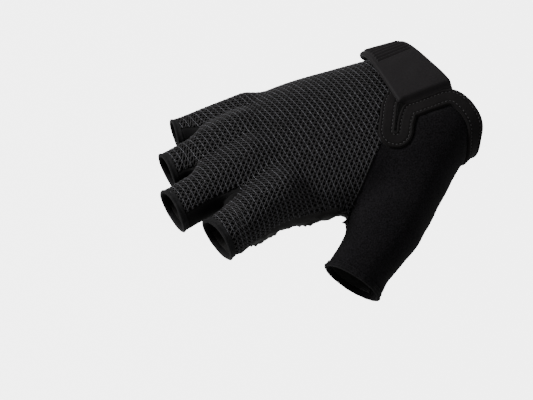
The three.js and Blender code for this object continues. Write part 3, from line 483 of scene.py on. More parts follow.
def facingOut(points, faces):
    # Turns all faces over when the volume that they enclose comes out negative
    a, b, c = points[faces[:, 0]], points[faces[:, 1]], points[faces[:, 2]]
    volume = dot(a, np.cross(b, c)).sum()
    if faces.shape[1] == 4:
        volume += dot(a, np.cross(c, points[faces[:, 3]])).sum()
    return faces[:, ::-1] if volume < 0 else faces


def makePiece(name, points, faces, slotName, finish, sharp=40):
    # One closed mesh from points in millimetres and faces of three or four corners, facing out
    mesh = bpy.data.meshes.new(name)
    faces = np.asarray(facingOut(points, faces), np.int32)
    mesh.vertices.add(len(points))
    mesh.vertices.foreach_set("co", (points * metre).astype(np.float32).ravel())
    mesh.loops.add(faces.size)
    mesh.loops.foreach_set("vertex_index", faces.ravel())
    mesh.polygons.add(len(faces))
    mesh.polygons.foreach_set("loop_start", np.arange(0, faces.size, faces.shape[1], dtype=np.int32))
    mesh.update(calc_edges=True)
    mesh.validate()
    mesh.shade_smooth()
    if sharp:
        mesh.set_sharp_from_angle(angle=math.radians(sharp))
    mesh.materials.append(finish)
    piece = bpy.data.objects.new(name, mesh)
    bpy.context.scene.collection.objects.link(piece)
    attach(piece, "root")
    print(f"{name}: {len(faces) * (faces.shape[1] - 2)} triangles")
    return piece


def gridFaces(rows, columns, closedRows=False, closedColumns=False):
    # Four-cornered faces between neighbouring rows and columns of a grid
    i = np.arange(rows if closedRows else rows - 1)[:, None]
    j = np.arange(columns if closedColumns else columns - 1)[None]
    nextRow, nextColumn = (i + 1) % rows, (j + 1) % columns
    here, there = i * columns, nextRow * columns
    quads = [here + j, there + j, there + nextColumn, here + nextColumn]
    return np.stack(np.broadcast_arrays(*quads), -1).reshape(-1, 4)


def sweptBand(name, path, section, slotName, finish, lift):
    # A section of (across, over) pairs carried round a closed path on the form, raised by lift
    side = sideways(path)
    across, over = np.array(section).T
    flat = path[:, None] + side[:, None] * across[None, :, None]
    points = settle(flat, np.broadcast_to(over, flat.shape[:2]) + lift[:, None])
    faces = gridFaces(*points.shape[:2], True, True)
    return makePiece(name, points.reshape(-1, 3), faces, slotName, finish)


def material(name, color, roughness=0.8, sheen=0.0, sheenRoughness=0.4, specular=0.3, mottle=0.0,
             mottleScale=400.0, bumps=()):
    # A cloth finish: base colour mottled by noise, sheen, and a chain of bumps.
    # Each bump is (texture, scale, strength, depth in millimetres).
    made = bpy.data.materials.new(name)
    made.use_nodes = True
    nodes, links = made.node_tree.nodes, made.node_tree.links
    shader = nodes["Principled BSDF"]
    shader.inputs["Roughness"].default_value = roughness
    shader.inputs["Sheen Weight"].default_value = sheen
    shader.inputs["Sheen Tint"].default_value = (1, 1, 1, 1)
    shader.inputs["Sheen Roughness"].default_value = sheenRoughness
    shader.inputs["Specular IOR Level"].default_value = specular
    place = nodes.new("ShaderNodeTexCoord").outputs["Object"]

    def texture(kind, size):
        node = nodes.new({"noise": "ShaderNodeTexNoise", "voronoi": "ShaderNodeTexVoronoi"}[kind])
        node.inputs["Scale"].default_value = size
        if kind == "noise":
            node.inputs["Detail"].default_value = 4
            node.inputs["Roughness"].default_value = 0.6
        links.new(place, node.inputs["Vector"])
        return node.outputs["Distance" if kind == "voronoi" else 0]

    ramp = nodes.new("ShaderNodeValToRGB")
    low, high = ramp.color_ramp.elements
    low.position, high.position = 0.3, 0.72
    low.color = (*[c * (1 - mottle) for c in color], 1)
    high.color = (*[c * (1 + mottle) for c in color], 1)
    links.new(texture("noise", mottleScale), ramp.inputs["Fac"])
    links.new(ramp.outputs["Color"], shader.inputs["Base Color"])
    last = None
    for kind, size, strength, depth in bumps:
        bump = nodes.new("ShaderNodeBump")
        bump.inputs["Strength"].default_value = strength
        bump.inputs["Distance"].default_value = depth * metre
        links.new(texture(kind, size), bump.inputs["Height"])
        if last:
            links.new(last.outputs["Normal"], bump.inputs["Normal"])
        last = bump
    if last:
        links.new(last.outputs["Normal"], shader.inputs["Normal"])
    return made


# Painted shade: the backing under the net is near-black so that the net's holes show dark, standing in for
# the shade seen through them
shadeBackingCloth = material("net shade backing", (0.0018, 0.0018, 0.0019), 0.95, specular=0.08,
                       bumps=[("noise", 1500, 0.4, 0.2)])
netDark = material("net strands", (0.0138, 0.0126, 0.0136), 0.6, sheen=0.1, specular=0.25, mottle=0.4,
                   mottleScale=350, bumps=[("noise", 4000, 0.3, 0.05)])
netLight = material("net light threads", (0.1, 0.1, 0.113), 0.5, sheen=0.1, specular=0.4, mottle=0.6,
                    mottleScale=260)
fleece = material("fleece", (0.0068, 0.0062, 0.0071), 1.0, sheen=0.05, sheenRoughness=0.5, specular=0.05,
                  mottle=0.9, mottleScale=1700,
                  bumps=[("noise", 2200, 0.5, 0.25), ("noise", 600, 0.25, 0.3)])
suede = material("suede", (0.006, 0.0054, 0.005), 0.6, sheen=0.05, specular=0.35, mottle=0.35,
                 bumps=[("voronoi", 900, 0.4, 0.2), ("noise", 300, 0.3, 0.4)])
stretch = material("stretch", (0.0038, 0.0036, 0.0038), 0.8, sheen=0.04, specular=0.12,
                   bumps=[("noise", 2500, 0.3, 0.1)])
trim = material("trim", (0.0052, 0.0043, 0.0045), 0.75, sheen=0.06, specular=0.15, mottle=0.25,
                bumps=[("noise", 1800, 0.35, 0.15)])
hemCloth = material("hem cloth", (0.0075, 0.0073, 0.0078), 0.75, sheen=0.06, specular=0.15, mottle=0.6,
                    mottleScale=1400, bumps=[("noise", 1500, 0.6, 0.3)])
strapCloth = material("strap cloth", (0.0092, 0.0078, 0.0086), 0.72, sheen=0.08, specular=0.18, mottle=0.4,
                      mottleScale=1900, bumps=[("noise", 2600, 0.35, 0.12)])
thread = material("stitch thread", (0.034, 0.032, 0.034), 0.6, sheen=0.1, specular=0.3)
patchCloth = material("hook patch", (0.005, 0.005, 0.005), 0.9, specular=0.1,
                      bumps=[("voronoi", 1500, 0.8, 0.4)])
print("finishes ready")


# Panels: the solids' own meshes, merged, split twice and settled back on the form


def mergedNode(name):
    # A solid's points in millimetres and its triangles, with equal points made one
    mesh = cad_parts[name].data
    mesh.calc_loop_triangles()
    spots = np.empty(len(mesh.vertices) * 3, np.float32)
    mesh.vertices.foreach_get("co", spots)
    corner = np.empty(len(mesh.loop_triangles) * 3, np.int32)
    mesh.loop_triangles.foreach_get("vertices", corner)
    points = spots.reshape(-1, 3).astype(float) / metre
    rounded = np.round(points * 100).astype(int)
    _, first, same = np.unique(rounded, axis=0, return_index=True, return_inverse=True)
    faces = same.ravel()[corner].reshape(-1, 3)
    keep = (faces[:, 0] != faces[:, 1]) & (faces[:, 1] != faces[:, 2]) & (faces[:, 2] != faces[:, 0])
    return points[first], faces[keep]


def quartered(points, faces, columns):
    # Each triangle becomes four at the middles of its edges; the columns are averaged with them
    edges = np.sort(np.concatenate([faces[:, [0, 1]], faces[:, [1, 2]], faces[:, [2, 0]]]), axis=1)
    ends, where = np.unique(edges, axis=0, return_inverse=True)
    a, b, c = where.ravel().reshape(3, -1) + len(points)
    one, two, three = faces.T
    split = np.concatenate([np.stack(t, 1) for t in ((one, a, c), (a, two, b), (c, b, three), (a, b, c))])
    grown = [np.concatenate([column, column[ends].mean(1)]) for column in columns]
    return np.concatenate([points, points[ends].mean(1)]), split, grown


def faceNormals(points, faces):
    a, b, c = (points[faces[:, i]] for i in range(3))
    return unit(np.cross(b - a, c - a))


def openEdges(faces, pointCount):
    # Edges that one face uses and no other uses the other way round
    edges = np.concatenate([faces[:, [0, 1]], faces[:, [1, 2]], faces[:, [2, 0]]])
    forth = edges[:, 0] * pointCount + edges[:, 1]
    back = edges[:, 1] * pointCount + edges[:, 0]
    return edges[~np.isin(forth, back)]


pointsAtOnce = 4000


def toSegments(points, starts, ends):
    # Distance to the nearest segment, its number, and the nearest place on it
    run = ends - starts
    square = np.maximum(dot(run, run), 1e-9)
    found = []
    for part in np.array_split(points, max(1, len(points) // pointsAtOnce)):
        share = np.clip(((part @ run.T) - dot(starts, run)) / square, 0, 1)
        place = starts[None] + share[..., None] * run[None]
        away = np.linalg.norm(part[:, None] - place, axis=-1)
        nearest = away.argmin(1)
        row = np.arange(len(part))
        found.append((away[row, nearest], nearest, place[row, nearest]))
    return [np.concatenate(column) for column in zip(*found)]


# How far neighbouring panels grow into the seam between them, and the facing that tells sides
seamGrowth = 0.12
turnedOut = 0.35


def panel(node, wall=1.1, splits=2):
    # A solid's mesh made fine. It comes back with each point's level on the form, its share of the
    # outer face, and its distance to the rim, and with the rim's segments and outward directions.
    # A wall of None tells outer from inner by the way the faces turn.
    points, faces = mergedNode(node)
    if wall is None:
        facing = dot(faceNormals(points, faces), formNormal(points[faces].mean(1)))
        onFace, onInside = facing > turnedOut, facing < -turnedOut
    else:
        high = plainForm(points)[faces] > -wall / 2
        onFace, onInside = high.all(1), ~high.any(1)
    outerFaces, innerFaces = faces[onFace], faces[onInside]
    outer = np.zeros(len(points))
    outer[outerFaces.ravel()] = 1
    for sheet in (outerFaces, innerFaces):
        rim = openEdges(sheet, len(points))
        flat = unit(np.cross(points[rim[:, 1]] - points[rim[:, 0]], formNormal(points[rim].mean(1))))
        away = flat if sheet is outerFaces else -flat
        shift = np.zeros_like(points)
        np.add.at(shift, rim[:, 0], away)
        np.add.at(shift, rim[:, 1], away)
        size = np.linalg.norm(shift, axis=1, keepdims=True)
        growth = seamGrowth * np.minimum(2 / np.maximum(size, 0.7), 1.6)
        points = points + shift / np.maximum(size, 1) * growth
    level = plainForm(points)
    for _ in range(splits):
        points, faces, (level, outer) = quartered(points, faces, [level, outer])
        onFace = np.tile(onFace, 4)
        points = settle(points, level, 3)
    rim = openEdges(faces[onFace], len(points))
    starts, ends = points[rim[:, 0]], points[rim[:, 1]]
    outward = unit(np.cross(ends - starts, formNormal((starts + ends) / 2)))
    away, _, _ = toSegments(points, starts, ends)
    return dict(points=points, faces=faces, level=level, outer=outer, rim=away, onFace=onFace,
                starts=starts, ends=ends, outward=outward)


def rolled(cloth, roll):
    # How far the outer face turns down beside its rim: a quarter of a circle, roll wide and deep
    width, depth = roll
    s = np.clip(1 - cloth["rim"] / width, 0, 1)
    return -depth * (1 - np.sqrt(np.maximum(1 - s * s, 0)))


def clothPiece(name, node, cloth, relief, slotName, finish):
    # The panel with its outer face raised by relief, standing for the solid
    level = cloth["level"] + cloth["outer"] * relief
    points = settle(cloth["points"], level, 5)
    piece = makePiece(name, points, cloth["faces"], slotName, finish)
    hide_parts(node)
    return piece


# The sheet under the net, coloured near-black as painted shade for the net's holes; roll and sink shape
# its edge and depth
shadeBacking = dict(roll=(1.2, 0.3), sink=0.5)
back = panel("back_panel")
shadeBackingRelief = rolled(back, shadeBacking["roll"]) - shadeBacking["sink"]
clothPiece("net_shade_backing", "back_panel", back, shadeBackingRelief, "net_cloth", shadeBackingCloth)
print("net shade backing made")


def creased(points, size, seed):
    # Narrow ridges from smooth waves: one minus the wave's size, sharpened
    return (1 - np.abs(wave(points, size, seed))) ** 3


# Wall, relief heights and sizes of each panel in millimetres. Roll is a width and a depth, and the
# other pairs are where a part of the relief begins and where it is full.
palmLook = dict(wall=1.4, roll=(1.8, 0.6), swell=0.25, swellSize=14, crumple=1.1, crumpleSize=9, sink=0.4,
                stripAcross=(-22, -29), stripAlong=(-58, -68), stripRim=(0.3, 2.5))
palm = panel("palm_panel", palmLook["wall"])
spots = palm["points"]
sideStrip = (ease(*palmLook["stripAcross"], spots[:, 1]) * ease(*palmLook["stripAlong"], spots[:, 0])
             * ease(*palmLook["stripRim"], palm["rim"]))
palmRelief = (rolled(palm, palmLook["roll"]) + palmLook["swell"] * wave(spots, palmLook["swellSize"], 3)
              + sideStrip * (palmLook["crumple"] * creased(spots, palmLook["crumpleSize"], 5)
                             - palmLook["sink"]))
clothPiece("palm_suede", "palm_panel", palm, palmRelief, "palm_suede", suede)

thumbLook = dict(wall=1.3, roll=(1.8, 0.5), swell=0.25, swellSize=16, nap=0.06, napSize=2.2,
                 lump=1.3, lumpSize=6, lumpRim=(7, 0), lumpThumb=(0.6, -0.1),
                 lumpAlong=(-50, -62))
thumbCloth = panel("thumb_panel", thumbLook["wall"])
spots = thumbCloth["points"]
alongThumb = (spots - thumb["ball"]) @ thumb["axis"] / thumbReach
nearWeb = (ease(*thumbLook["lumpRim"], thumbCloth["rim"]) * ease(*thumbLook["lumpThumb"], alongThumb)
           * ease(*thumbLook["lumpAlong"], spots[:, 0]))
thumbRelief = (rolled(thumbCloth, thumbLook["roll"])
               + thumbLook["swell"] * wave(spots, thumbLook["swellSize"], 8)
               + thumbLook["nap"] * wave(spots, thumbLook["napSize"], 9)
               + thumbLook["lump"] * nearWeb * wave(spots, thumbLook["lumpSize"], 10))
clothPiece("thumb_fleece", "thumb_panel", thumbCloth, thumbRelief, "brushed_cloth", fleece)

gussetLook = dict(roll=(1.2, 0.4), drawn=0.7, fade=(0.95, 0.05), fold=1.3, foldSize=7, foldRise=0.4,
                  swell=0.3, swellSize=3)
gusset = panel("thumb_gusset", None)
spots = gusset["points"]
drawn = spots - gussetLook["drawn"] * (spots @ thumb["axis"])[:, None] * thumb["axis"]
gathered = ease(*gussetLook["fade"], (spots - thumb["ball"]) @ thumb["axis"] / thumbReach)
gussetRelief = (rolled(gusset, gussetLook["roll"])
                + gathered * (gussetLook["fold"] * wave(drawn, gussetLook["foldSize"], 12)
                              + gussetLook["foldRise"])
                + gussetLook["swell"] * wave(spots, gussetLook["swellSize"], 13))
clothPiece("gusset_suede", "thumb_gusset", gusset, gussetRelief, "palm_suede", suede)

slotLook = dict(roll=(1.0, 0.35), swell=0.12, swellSize=7)
for pair in ("index_middle", "middle_ring", "ring_little"):
    strip = panel(f"fourchette_{pair}")
    swell = slotLook["swell"] * wave(strip["points"], slotLook["swellSize"], 20)
    relief = rolled(strip, slotLook["roll"]) + swell
    clothPiece(f"slot_cloth_{pair}", f"fourchette_{pair}", strip, relief, "stretch_cloth", stretch)
print("panels made")


# The net: two families of thin strands over the backing. Places on it are (along, across) arcs.

net = dict(pitchAlong=2.3, pitchAcross=2.2, tilt=math.radians(-6), radius=0.24, knot=0.14, level=-0.24,
           lightRadius=0.1, lightLevel=0.02, halfWidth=38, halfHeight=13, standOff=12, hang=0.18,
           besideThumb=(-63, -72), fromAbove=0.9, rowEnd=133, turnEnd=125, turnStep=0.5, steepest=2.2,
           sure=0.8, wide=5, rimReach=3.2, fineReach=1.1)


def mittenRay(x, turn):
    # A start outside a plain mitten of elliptic section, and the way in from there. Beside the
    # thumb the ways in come down from above.
    upright = np.where(turn < 0, 1 - ease(*net["besideThumb"], x), 0)
    turn = np.radians(np.where(upright > 0.5, np.maximum(turn, -90), turn))
    middle = stack(x, sectionMiddle(-x), sectionRise(-x) - net["hang"] * sectionArch(-x))
    on = stack(0, np.sin(turn) * net["halfWidth"], np.cos(turn) * net["halfHeight"])
    out = unit(stack(0, np.sin(turn) / net["halfWidth"], np.cos(turn) / net["halfHeight"]))
    out = unit(lerp(out, up, (net["fromAbove"] * upright)[..., None]))
    return middle + on + out * net["standOff"], -out


def castIn(origin, ray):
    # Walks in from outside until the form is met, and stops at the deepest place
    reach = np.zeros(origin.shape[:-1])
    for _ in range(inWalk["rounds"]):
        off = np.clip(form(origin + ray * reach[..., None]), inWalk["back"], inWalk["most"])
        reach = np.minimum(reach + inWalk["share"] * off, inWalk["deepest"])
    return origin + ray * reach[..., None]


netRows = np.arange(0, net["rowEnd"], 1.0)
netTurns = np.arange(-net["turnEnd"], net["turnEnd"] + 0.1, net["turnStep"])


def netTable():
    # For each row of x, the arc length across the cloth at each turn of the mitten
    x = -netRows[:, None] + 0 * netTurns
    hits = castIn(*mittenRay(x, netTurns + 0 * x))
    angle = np.radians(netTurns)
    bare = stack(x, np.sin(angle) * net["halfWidth"], np.cos(angle) * net["halfHeight"])
    step = np.linalg.norm(np.diff(hits, axis=1), axis=-1)
    plain = np.linalg.norm(np.diff(bare, axis=1), axis=-1)
    step = np.minimum(step, net["steepest"] * plain)
    upright = (netTurns[1:] <= -90) & (x[:, :1] > sum(net["besideThumb"]) / 2)
    step = np.where(upright, 0, step)
    arc = np.concatenate([np.zeros((len(netRows), 1)), np.cumsum(step, 1)], 1)
    arc -= arc[:, [len(netTurns) // 2]]
    soft = np.exp(-((np.arange(-6, 7) / 3.0) ** 2))
    soft /= soft.sum()
    padded = np.pad(arc, ((6, 6), (0, 0)), mode="edge")
    return sum(weight * padded[i:i + len(arc)] for i, weight in enumerate(soft))


netArcs = netTable()


def netPoint(along, across):
    # Finds the turn that has this arc length, row by row, and casts in to the cloth there
    row = np.clip(along, 0, netRows[-1] - 1e-6)
    low = np.floor(row).astype(int)
    spread = 1000.0
    everyArc = (netArcs + netRows[:, None] * spread).ravel()
    everyTurn = np.broadcast_to(netTurns, netArcs.shape).ravel()
    turns = [np.interp(across + line * spread, everyArc, everyTurn) for line in (low, low + 1)]
    points = castIn(*mittenRay(-row, lerp(turns[0], turns[1], row - low)))
    held = (across > netArcs[low, 0] + 0.3) & (across < netArcs[low, -1] - 0.3)
    return points, held & (np.abs(form(points)) < 0.3)


netPanel = panel("back_panel", splits=1)
netMiddles = netPanel["points"][netPanel["faces"][netPanel["onFace"]]].mean(1)


backMiddles = settle(back["points"][back["faces"][back["onFace"]]].mean(1), 0, 4)


def nearestSquare(points, middles):
    # The squared distance to the nearest of the middles
    near = np.empty(len(points))
    for rows in np.array_split(np.arange(len(points)), max(1, len(points) // pointsAtOnce)):
        square = dot(points[rows], points[rows])[:, None] + dot(middles, middles)
        near[rows] = (square - 2 * points[rows] @ middles.T).min(1)
    return near


def insideBy(points):
    # How far inside the back panel's rim a point lies; below 0 is outside
    away, nearest, place = toSegments(points, netPanel["starts"], netPanel["ends"])
    onCloth = dot(points - place, netPanel["outward"][nearest]) < 0
    near = nearestSquare(points, netMiddles)
    beyond = near > net["rimReach"] ** 2
    doubtful = (away > net["sure"]) & (away < net["wide"]) & ~beyond
    onCloth[doubtful] = nearestSquare(points[doubtful], backMiddles) < net["fineReach"] ** 2
    signed = np.where(onCloth | (away >= net["wide"]), away, -away)
    return np.where(beyond, -9, signed)


def strandTubes(along, across, radius, swell, lift, sides):
    # Tubes over the net's own (along, across) lines, one line a row, cut where the panel's rim is
    cos, sin = math.cos(net["tilt"]), math.sin(net["tilt"])
    x, arc = along * cos - across * sin, along * sin + across * cos
    good = (x > 0) & (x < netRows[-1]) & (np.abs(arc) < 92)
    points = np.zeros((*x.shape, 3))
    points[good], held = netPoint(x[good], arc[good])
    good[good] = held
    inside = np.full(x.shape, -9.0)
    inside[good] = insideBy(points[good])
    for shift in (1, -1):  # the first point outside slides back to the rim
        beside, source = np.roll(inside, shift, 1), np.roll(points, shift, 1)
        edge = (inside <= 0) & (inside > -8) & (beside > 0)
        share = (beside / np.maximum(beside - inside, 1e-6))[..., None]
        points = np.where(edge[..., None], source + (points - source) * share, points)
        inside = np.where(edge, 0.01, inside)
    keep = inside > 0
    ahead, behind = np.roll(points, -1, 1) - points, points - np.roll(points, 1, 1)
    hasAhead, hasBehind = keep & np.roll(keep, -1, 1), keep & np.roll(keep, 1, 1)
    hasAhead[:, -1] = hasBehind[:, 0] = False
    tangent = unit(ahead * hasAhead[..., None] + behind * hasBehind[..., None])
    used = hasAhead | hasBehind
    normal = formNormal(points[used])
    side = np.cross(tangent[used], normal)
    size = np.where(hasAhead & hasBehind, radius + swell, 0.03)[used]
    middle = points[used] + normal * lift
    angle = np.arange(sides) / sides * 2 * math.pi
    ring = side[:, None] * np.cos(angle)[:, None] + normal[:, None] * np.sin(angle)[:, None]
    tube = middle[:, None] + ring * size[:, None, None]
    index = np.full(used.shape, -1)
    index[used] = np.arange(used.sum()) * sides
    first, second = index[:, :-1][hasAhead[:, :-1]][:, None], index[:, 1:][hasAhead[:, :-1]][:, None]
    j = np.arange(sides)
    nextJ = (j + 1) % sides
    quads = np.stack([first + j, second + j, second + nextJ, first + nextJ], -1)
    return tube.reshape(-1, 3), quads.reshape(-1, 4)


def netStrands():
    # Strands along whole steps of i + k and of i - k, thicker where they cross
    i, k = np.arange(-20, 150.0)[:, None], np.arange(-20, 150, 0.5)[None]
    crossing = net["knot"] * (np.abs(k - np.round(k)) < 0.1) + 0 * i
    along = net["pitchAlong"] * (i + k) / 2
    parts = [strandTubes(along, family * net["pitchAcross"] * (i - k) / 2, net["radius"], crossing,
                         net["level"] + 0.05 * family, 5) for family in (-1, 1)]
    count = len(parts[0][0])
    return np.concatenate([parts[0][0], parts[1][0]]), np.concatenate([parts[0][1], parts[1][1] + count])


def lightThreads():
    # Thin lighter threads across the hand over every second row of crossings
    i, k = np.arange(-4, 64.0)[:, None], np.arange(-90, 90.0)[None]
    across = net["pitchAcross"] * k / 2 + 0 * i
    knots = net["lightRadius"] * 0.5 * np.cos(math.pi * k) + 0 * i
    along = net["pitchAlong"] * i + 0 * k
    return strandTubes(along, across, net["lightRadius"], knots, net["lightLevel"], 4)


makePiece("net_strands", *netStrands(), "net_cloth", netDark, sharp=0)
makePiece("net_light_threads", *lightThreads(), "net_cloth", netLight, sharp=0)
print("net made")


# Hems


hem = dict(end=-1.1, cloth=1.8, bead=0.42, beadWidth=0.55, flat=0.08, bottom=-1.2, lift=0.14,
           thumbLift=0.2, liftSize=4, steps=120, thumbSteps=140)


def hemRays(limb, steps):
    # Angles round a stall or the thumb, and the directions there
    angle = np.radians(np.linspace(0, 360, steps, endpoint=False))
    return angle, limb["up"] * np.cos(angle)[:, None] + limb["side"] * np.sin(angle)[:, None]


def stallHemPath(stall):
    # Round the stall just short of its end, bowed back over the top
    angle, ray = hemRays(stall, hem["steps"])
    stop = stall["length"] - hemWidth / 2 - hemBow * np.maximum(np.cos(angle), 0) ** 2
    return castOut(stall["root"] + stall["axis"] * stop[:, None], ray)


def thumbHemPath():
    return castOut(thumb["hem"] - thumb["axis"] * hemWidth / 2, hemRays(thumb, hem["thumbSteps"])[1])


def hemSection():
    # From the opening: a bead, then a thin band that runs onto the cloth
    across = np.linspace(hem["end"], hem["cloth"], 22)
    top = hem["flat"] + hem["bead"] * np.exp(-(((across + 0.5) / hem["beadWidth"]) ** 2))
    top -= 0.9 * np.clip(1 - (across - hem["end"]) / 0.4, 0, 1) ** 2
    top -= 0.25 * np.clip(1 - (hem["cloth"] - across) / 0.4, 0, 1) ** 2
    under = [(hem["cloth"], -0.5), (hem["cloth"] - 0.4, hem["bottom"] + 0.3), (-0.2, hem["bottom"]),
             (hem["end"] + 0.15, -0.9)]
    return np.vstack([np.stack([across, top], 1), under])


for stall in stalls:
    path = stallHemPath(stall)
    piece = sweptBand(f"hem_roll_{stall['name']}", path, hemSection(), "trim_cloth", hemCloth,
                      hem["lift"] * wave(path, hem["liftSize"], 31))
    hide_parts(f"hem_{stall['name']}")
path = thumbHemPath()
piece = sweptBand("hem_roll_thumb", path, hemSection(), "trim_cloth", fleece,
                  hem["thumbLift"] * wave(path, hem["liftSize"], 32))
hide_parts("hem_thumb")
print("hems made")


# Binding

binding = dict(lip=0.45, flange=2.4, piping=0.35, groove=0.28, grooveWidth=0.35, stitchInset=1.5,
               lift=0.06, liftSize=9, pathSteps=900)


def bindingSection():
    # From the cut edge: a piped rim, a sunk stitch line, a flat band, a stitch line, a low lip
    half = bindingWidth / 2
    across = np.linspace(-half, half + binding["lip"], 30)
    fromCut, fromCloth = across + half, half + binding["lip"] - across
    top = bindingProud + 0 * across
    top += binding["piping"] * np.exp(-(((fromCut - 0.7) / 0.6) ** 2))
    for inset in (fromCut, fromCloth):
        sunk = (inset - binding["stitchInset"]) / binding["grooveWidth"]
        top -= binding["groove"] * np.exp(-(sunk**2))
    top -= 1.0 * np.clip(1 - fromCut / 0.5, 0, 1) ** 2 + 0.9 * np.clip(1 - fromCloth / 0.7, 0, 1) ** 2
    flange = half + binding["flange"]
    under = np.array([(half + binding["lip"] - 0.05, -0.75), (flange, -0.85), (flange, -1.1),
                      (half - 0.4, -bindingSunk), (-half + 0.4, -bindingSunk), (-half + 0.05, -0.7)])
    return np.vstack([np.stack([across, top], 1), under])


bindingLine = bindingPath(bindingWidth / 2, binding["pathSteps"])


def clothSide(path):
    # 1 where the path's side direction leads away from the opening onto the cloth, else -1
    onWrist = path[:, 2] < -5
    return -1.0 if sideways(path)[onWrist, 0].mean() > 0 else 1.0


bindingSide = clothSide(bindingLine)
section = bindingSection() * [bindingSide, 1]
piece = sweptBand("binding_band", bindingLine, section, "trim_cloth", trim,
                  binding["lift"] * wave(bindingLine, binding["liftSize"], 41))
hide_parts("cuff_binding")
print("binding made")


stitch = dict(pitch=1.6, length=1.05, radius=0.17, dip=1.6, sunk=0.08, tabLevel=4.0, tabStart=0.8,
              tabEnd=0.975, tabInset=0.075)


def stitches(name, path, level, slotName):
    # A row of short capsules whose ends dip into the cloth, spaced along a path
    closedPath = np.vstack([path, path[:1]]) if np.linalg.norm(path[0] - path[-1]) < 3 else path
    along = arcLength(closedPath)
    starts = np.arange(0.5 * stitch["pitch"], along[-1] - stitch["length"], stitch["pitch"])
    t = np.linspace(-1, 1, 7)
    where = starts[:, None] + (t + 1) / 2 * stitch["length"]
    spine = np.stack([np.interp(where, along, closedPath[:, i]) for i in range(3)], -1)
    normal = formNormal(spine)
    dip = level - stitch["dip"] * stitch["radius"] * np.abs(t) ** 3
    spine = settle(spine, 0, 3) + normal * dip[None, :, None]
    tangent = unit(np.gradient(spine, axis=1))
    side = unit(np.cross(tangent, normal))
    angle = np.linspace(0, 2 * math.pi, 6, endpoint=False)
    ring = side[:, :, None] * np.cos(angle)[:, None] + normal[:, :, None] * np.sin(angle)[:, None]
    thick = stitch["radius"] * np.sqrt(np.maximum(1 - t**4, 0.0)) + 0.001
    tube = spine[:, :, None] + ring * thick[None, :, None, None]
    quads = gridFaces(len(t), len(angle), False, True)
    each = len(t) * len(angle)
    faces = (quads[None] + np.arange(len(tube))[:, None, None] * each).reshape(-1, 4)
    makePiece(name, tube.reshape(-1, 3), faces, slotName, thread, sharp=0)


# Strap

strapAlong = columnCurve(strapRows[:, 0], strapRows[:, 1])
strapNarrow = columnCurve(strapRows[:, 0], strapRows[:, 2])
strapRaised = columnCurve(strapRows[:, 0], strapRows[:, 3])
slitFine = np.linspace(0, len(slitLine) - 1, 400)
slitThumbEdge = slitEdge(slitFine, 1, -strapGap)


def slitEdgeAtX(x):
    edge = slitThumbEdge[np.argsort(slitThumbEdge[:, 0])]
    return np.stack([np.interp(x, edge[:, 0], edge[:, i]) for i in range(3)], -1)


def strapEndTurn():
    # Walks round the wrist from the slit until the strap's length is used up
    x = -strapRows[2, 1] * palmLength
    start = float(turnOf(slitEdgeAtX(np.array(-strapRows[0, 1] * palmLength))))
    turns = start - np.arange(0, 130.0)
    points = castOut(stack(x, sectionMiddle(np.array(0.0)), 0) + 0 * turns[:, None],
                     stack(0, np.cos(np.radians(turns)), np.sin(np.radians(turns))))
    return float(turns[np.searchsorted(arcLength(points), strapLength)])


def strapBase(share, across):
    # The form under the strap at a share of its length and of its width
    width = lerp(strapWidth, tabWidth, strapNarrow(share))
    x = -strapAlong(share) * palmLength + (across - 0.5) * width
    return aroundWrist(x, lerp(turnOf(slitEdgeAtX(x)), strapTurn, share))


def strapUnder(share):
    raised = strapRaised(share)
    resting = lerp(-strapThickness * 0.35, strapRise, np.minimum(raised, 1))
    return resting + np.maximum(raised - 1, 0) * (patchThickness + 2 * seamGap - strapRise)


strap = dict(lengthSteps=220, acrossSteps=70, corner=4.5, edge=1.1, border=1.7, ribs=9, ribPitch=1.7,
             ribHeight=0.85, ribStart=2.4, ribPower=0.7, tuck=2.4, sink=2.1, groove=0.18,
             grooveWidth=0.35, grooveFade=(20, 14), tabSink=0.22, swell=0.09, swellSize=11)
strapTurn = strapEndTurn()


def plate(top, low):
    # Closes two grids of points, one over the other, with walls between their rims
    rows, columns = top.shape[:2]
    points = np.concatenate([top.reshape(-1, 3), low.reshape(-1, 3)])
    upper = gridFaces(rows, columns)
    lower = upper[:, ::-1] + rows * columns
    ids = np.arange(rows * columns).reshape(rows, columns)
    rim = np.concatenate([ids[0, :-1], ids[:-1, -1], ids[-1, :0:-1], ids[:0:-1, 0]])
    nextRim = np.roll(rim, -1)
    walls = np.stack([nextRim, rim, rim + rows * columns, nextRim + rows * columns], 1)
    return points, np.concatenate([upper, lower, walls])


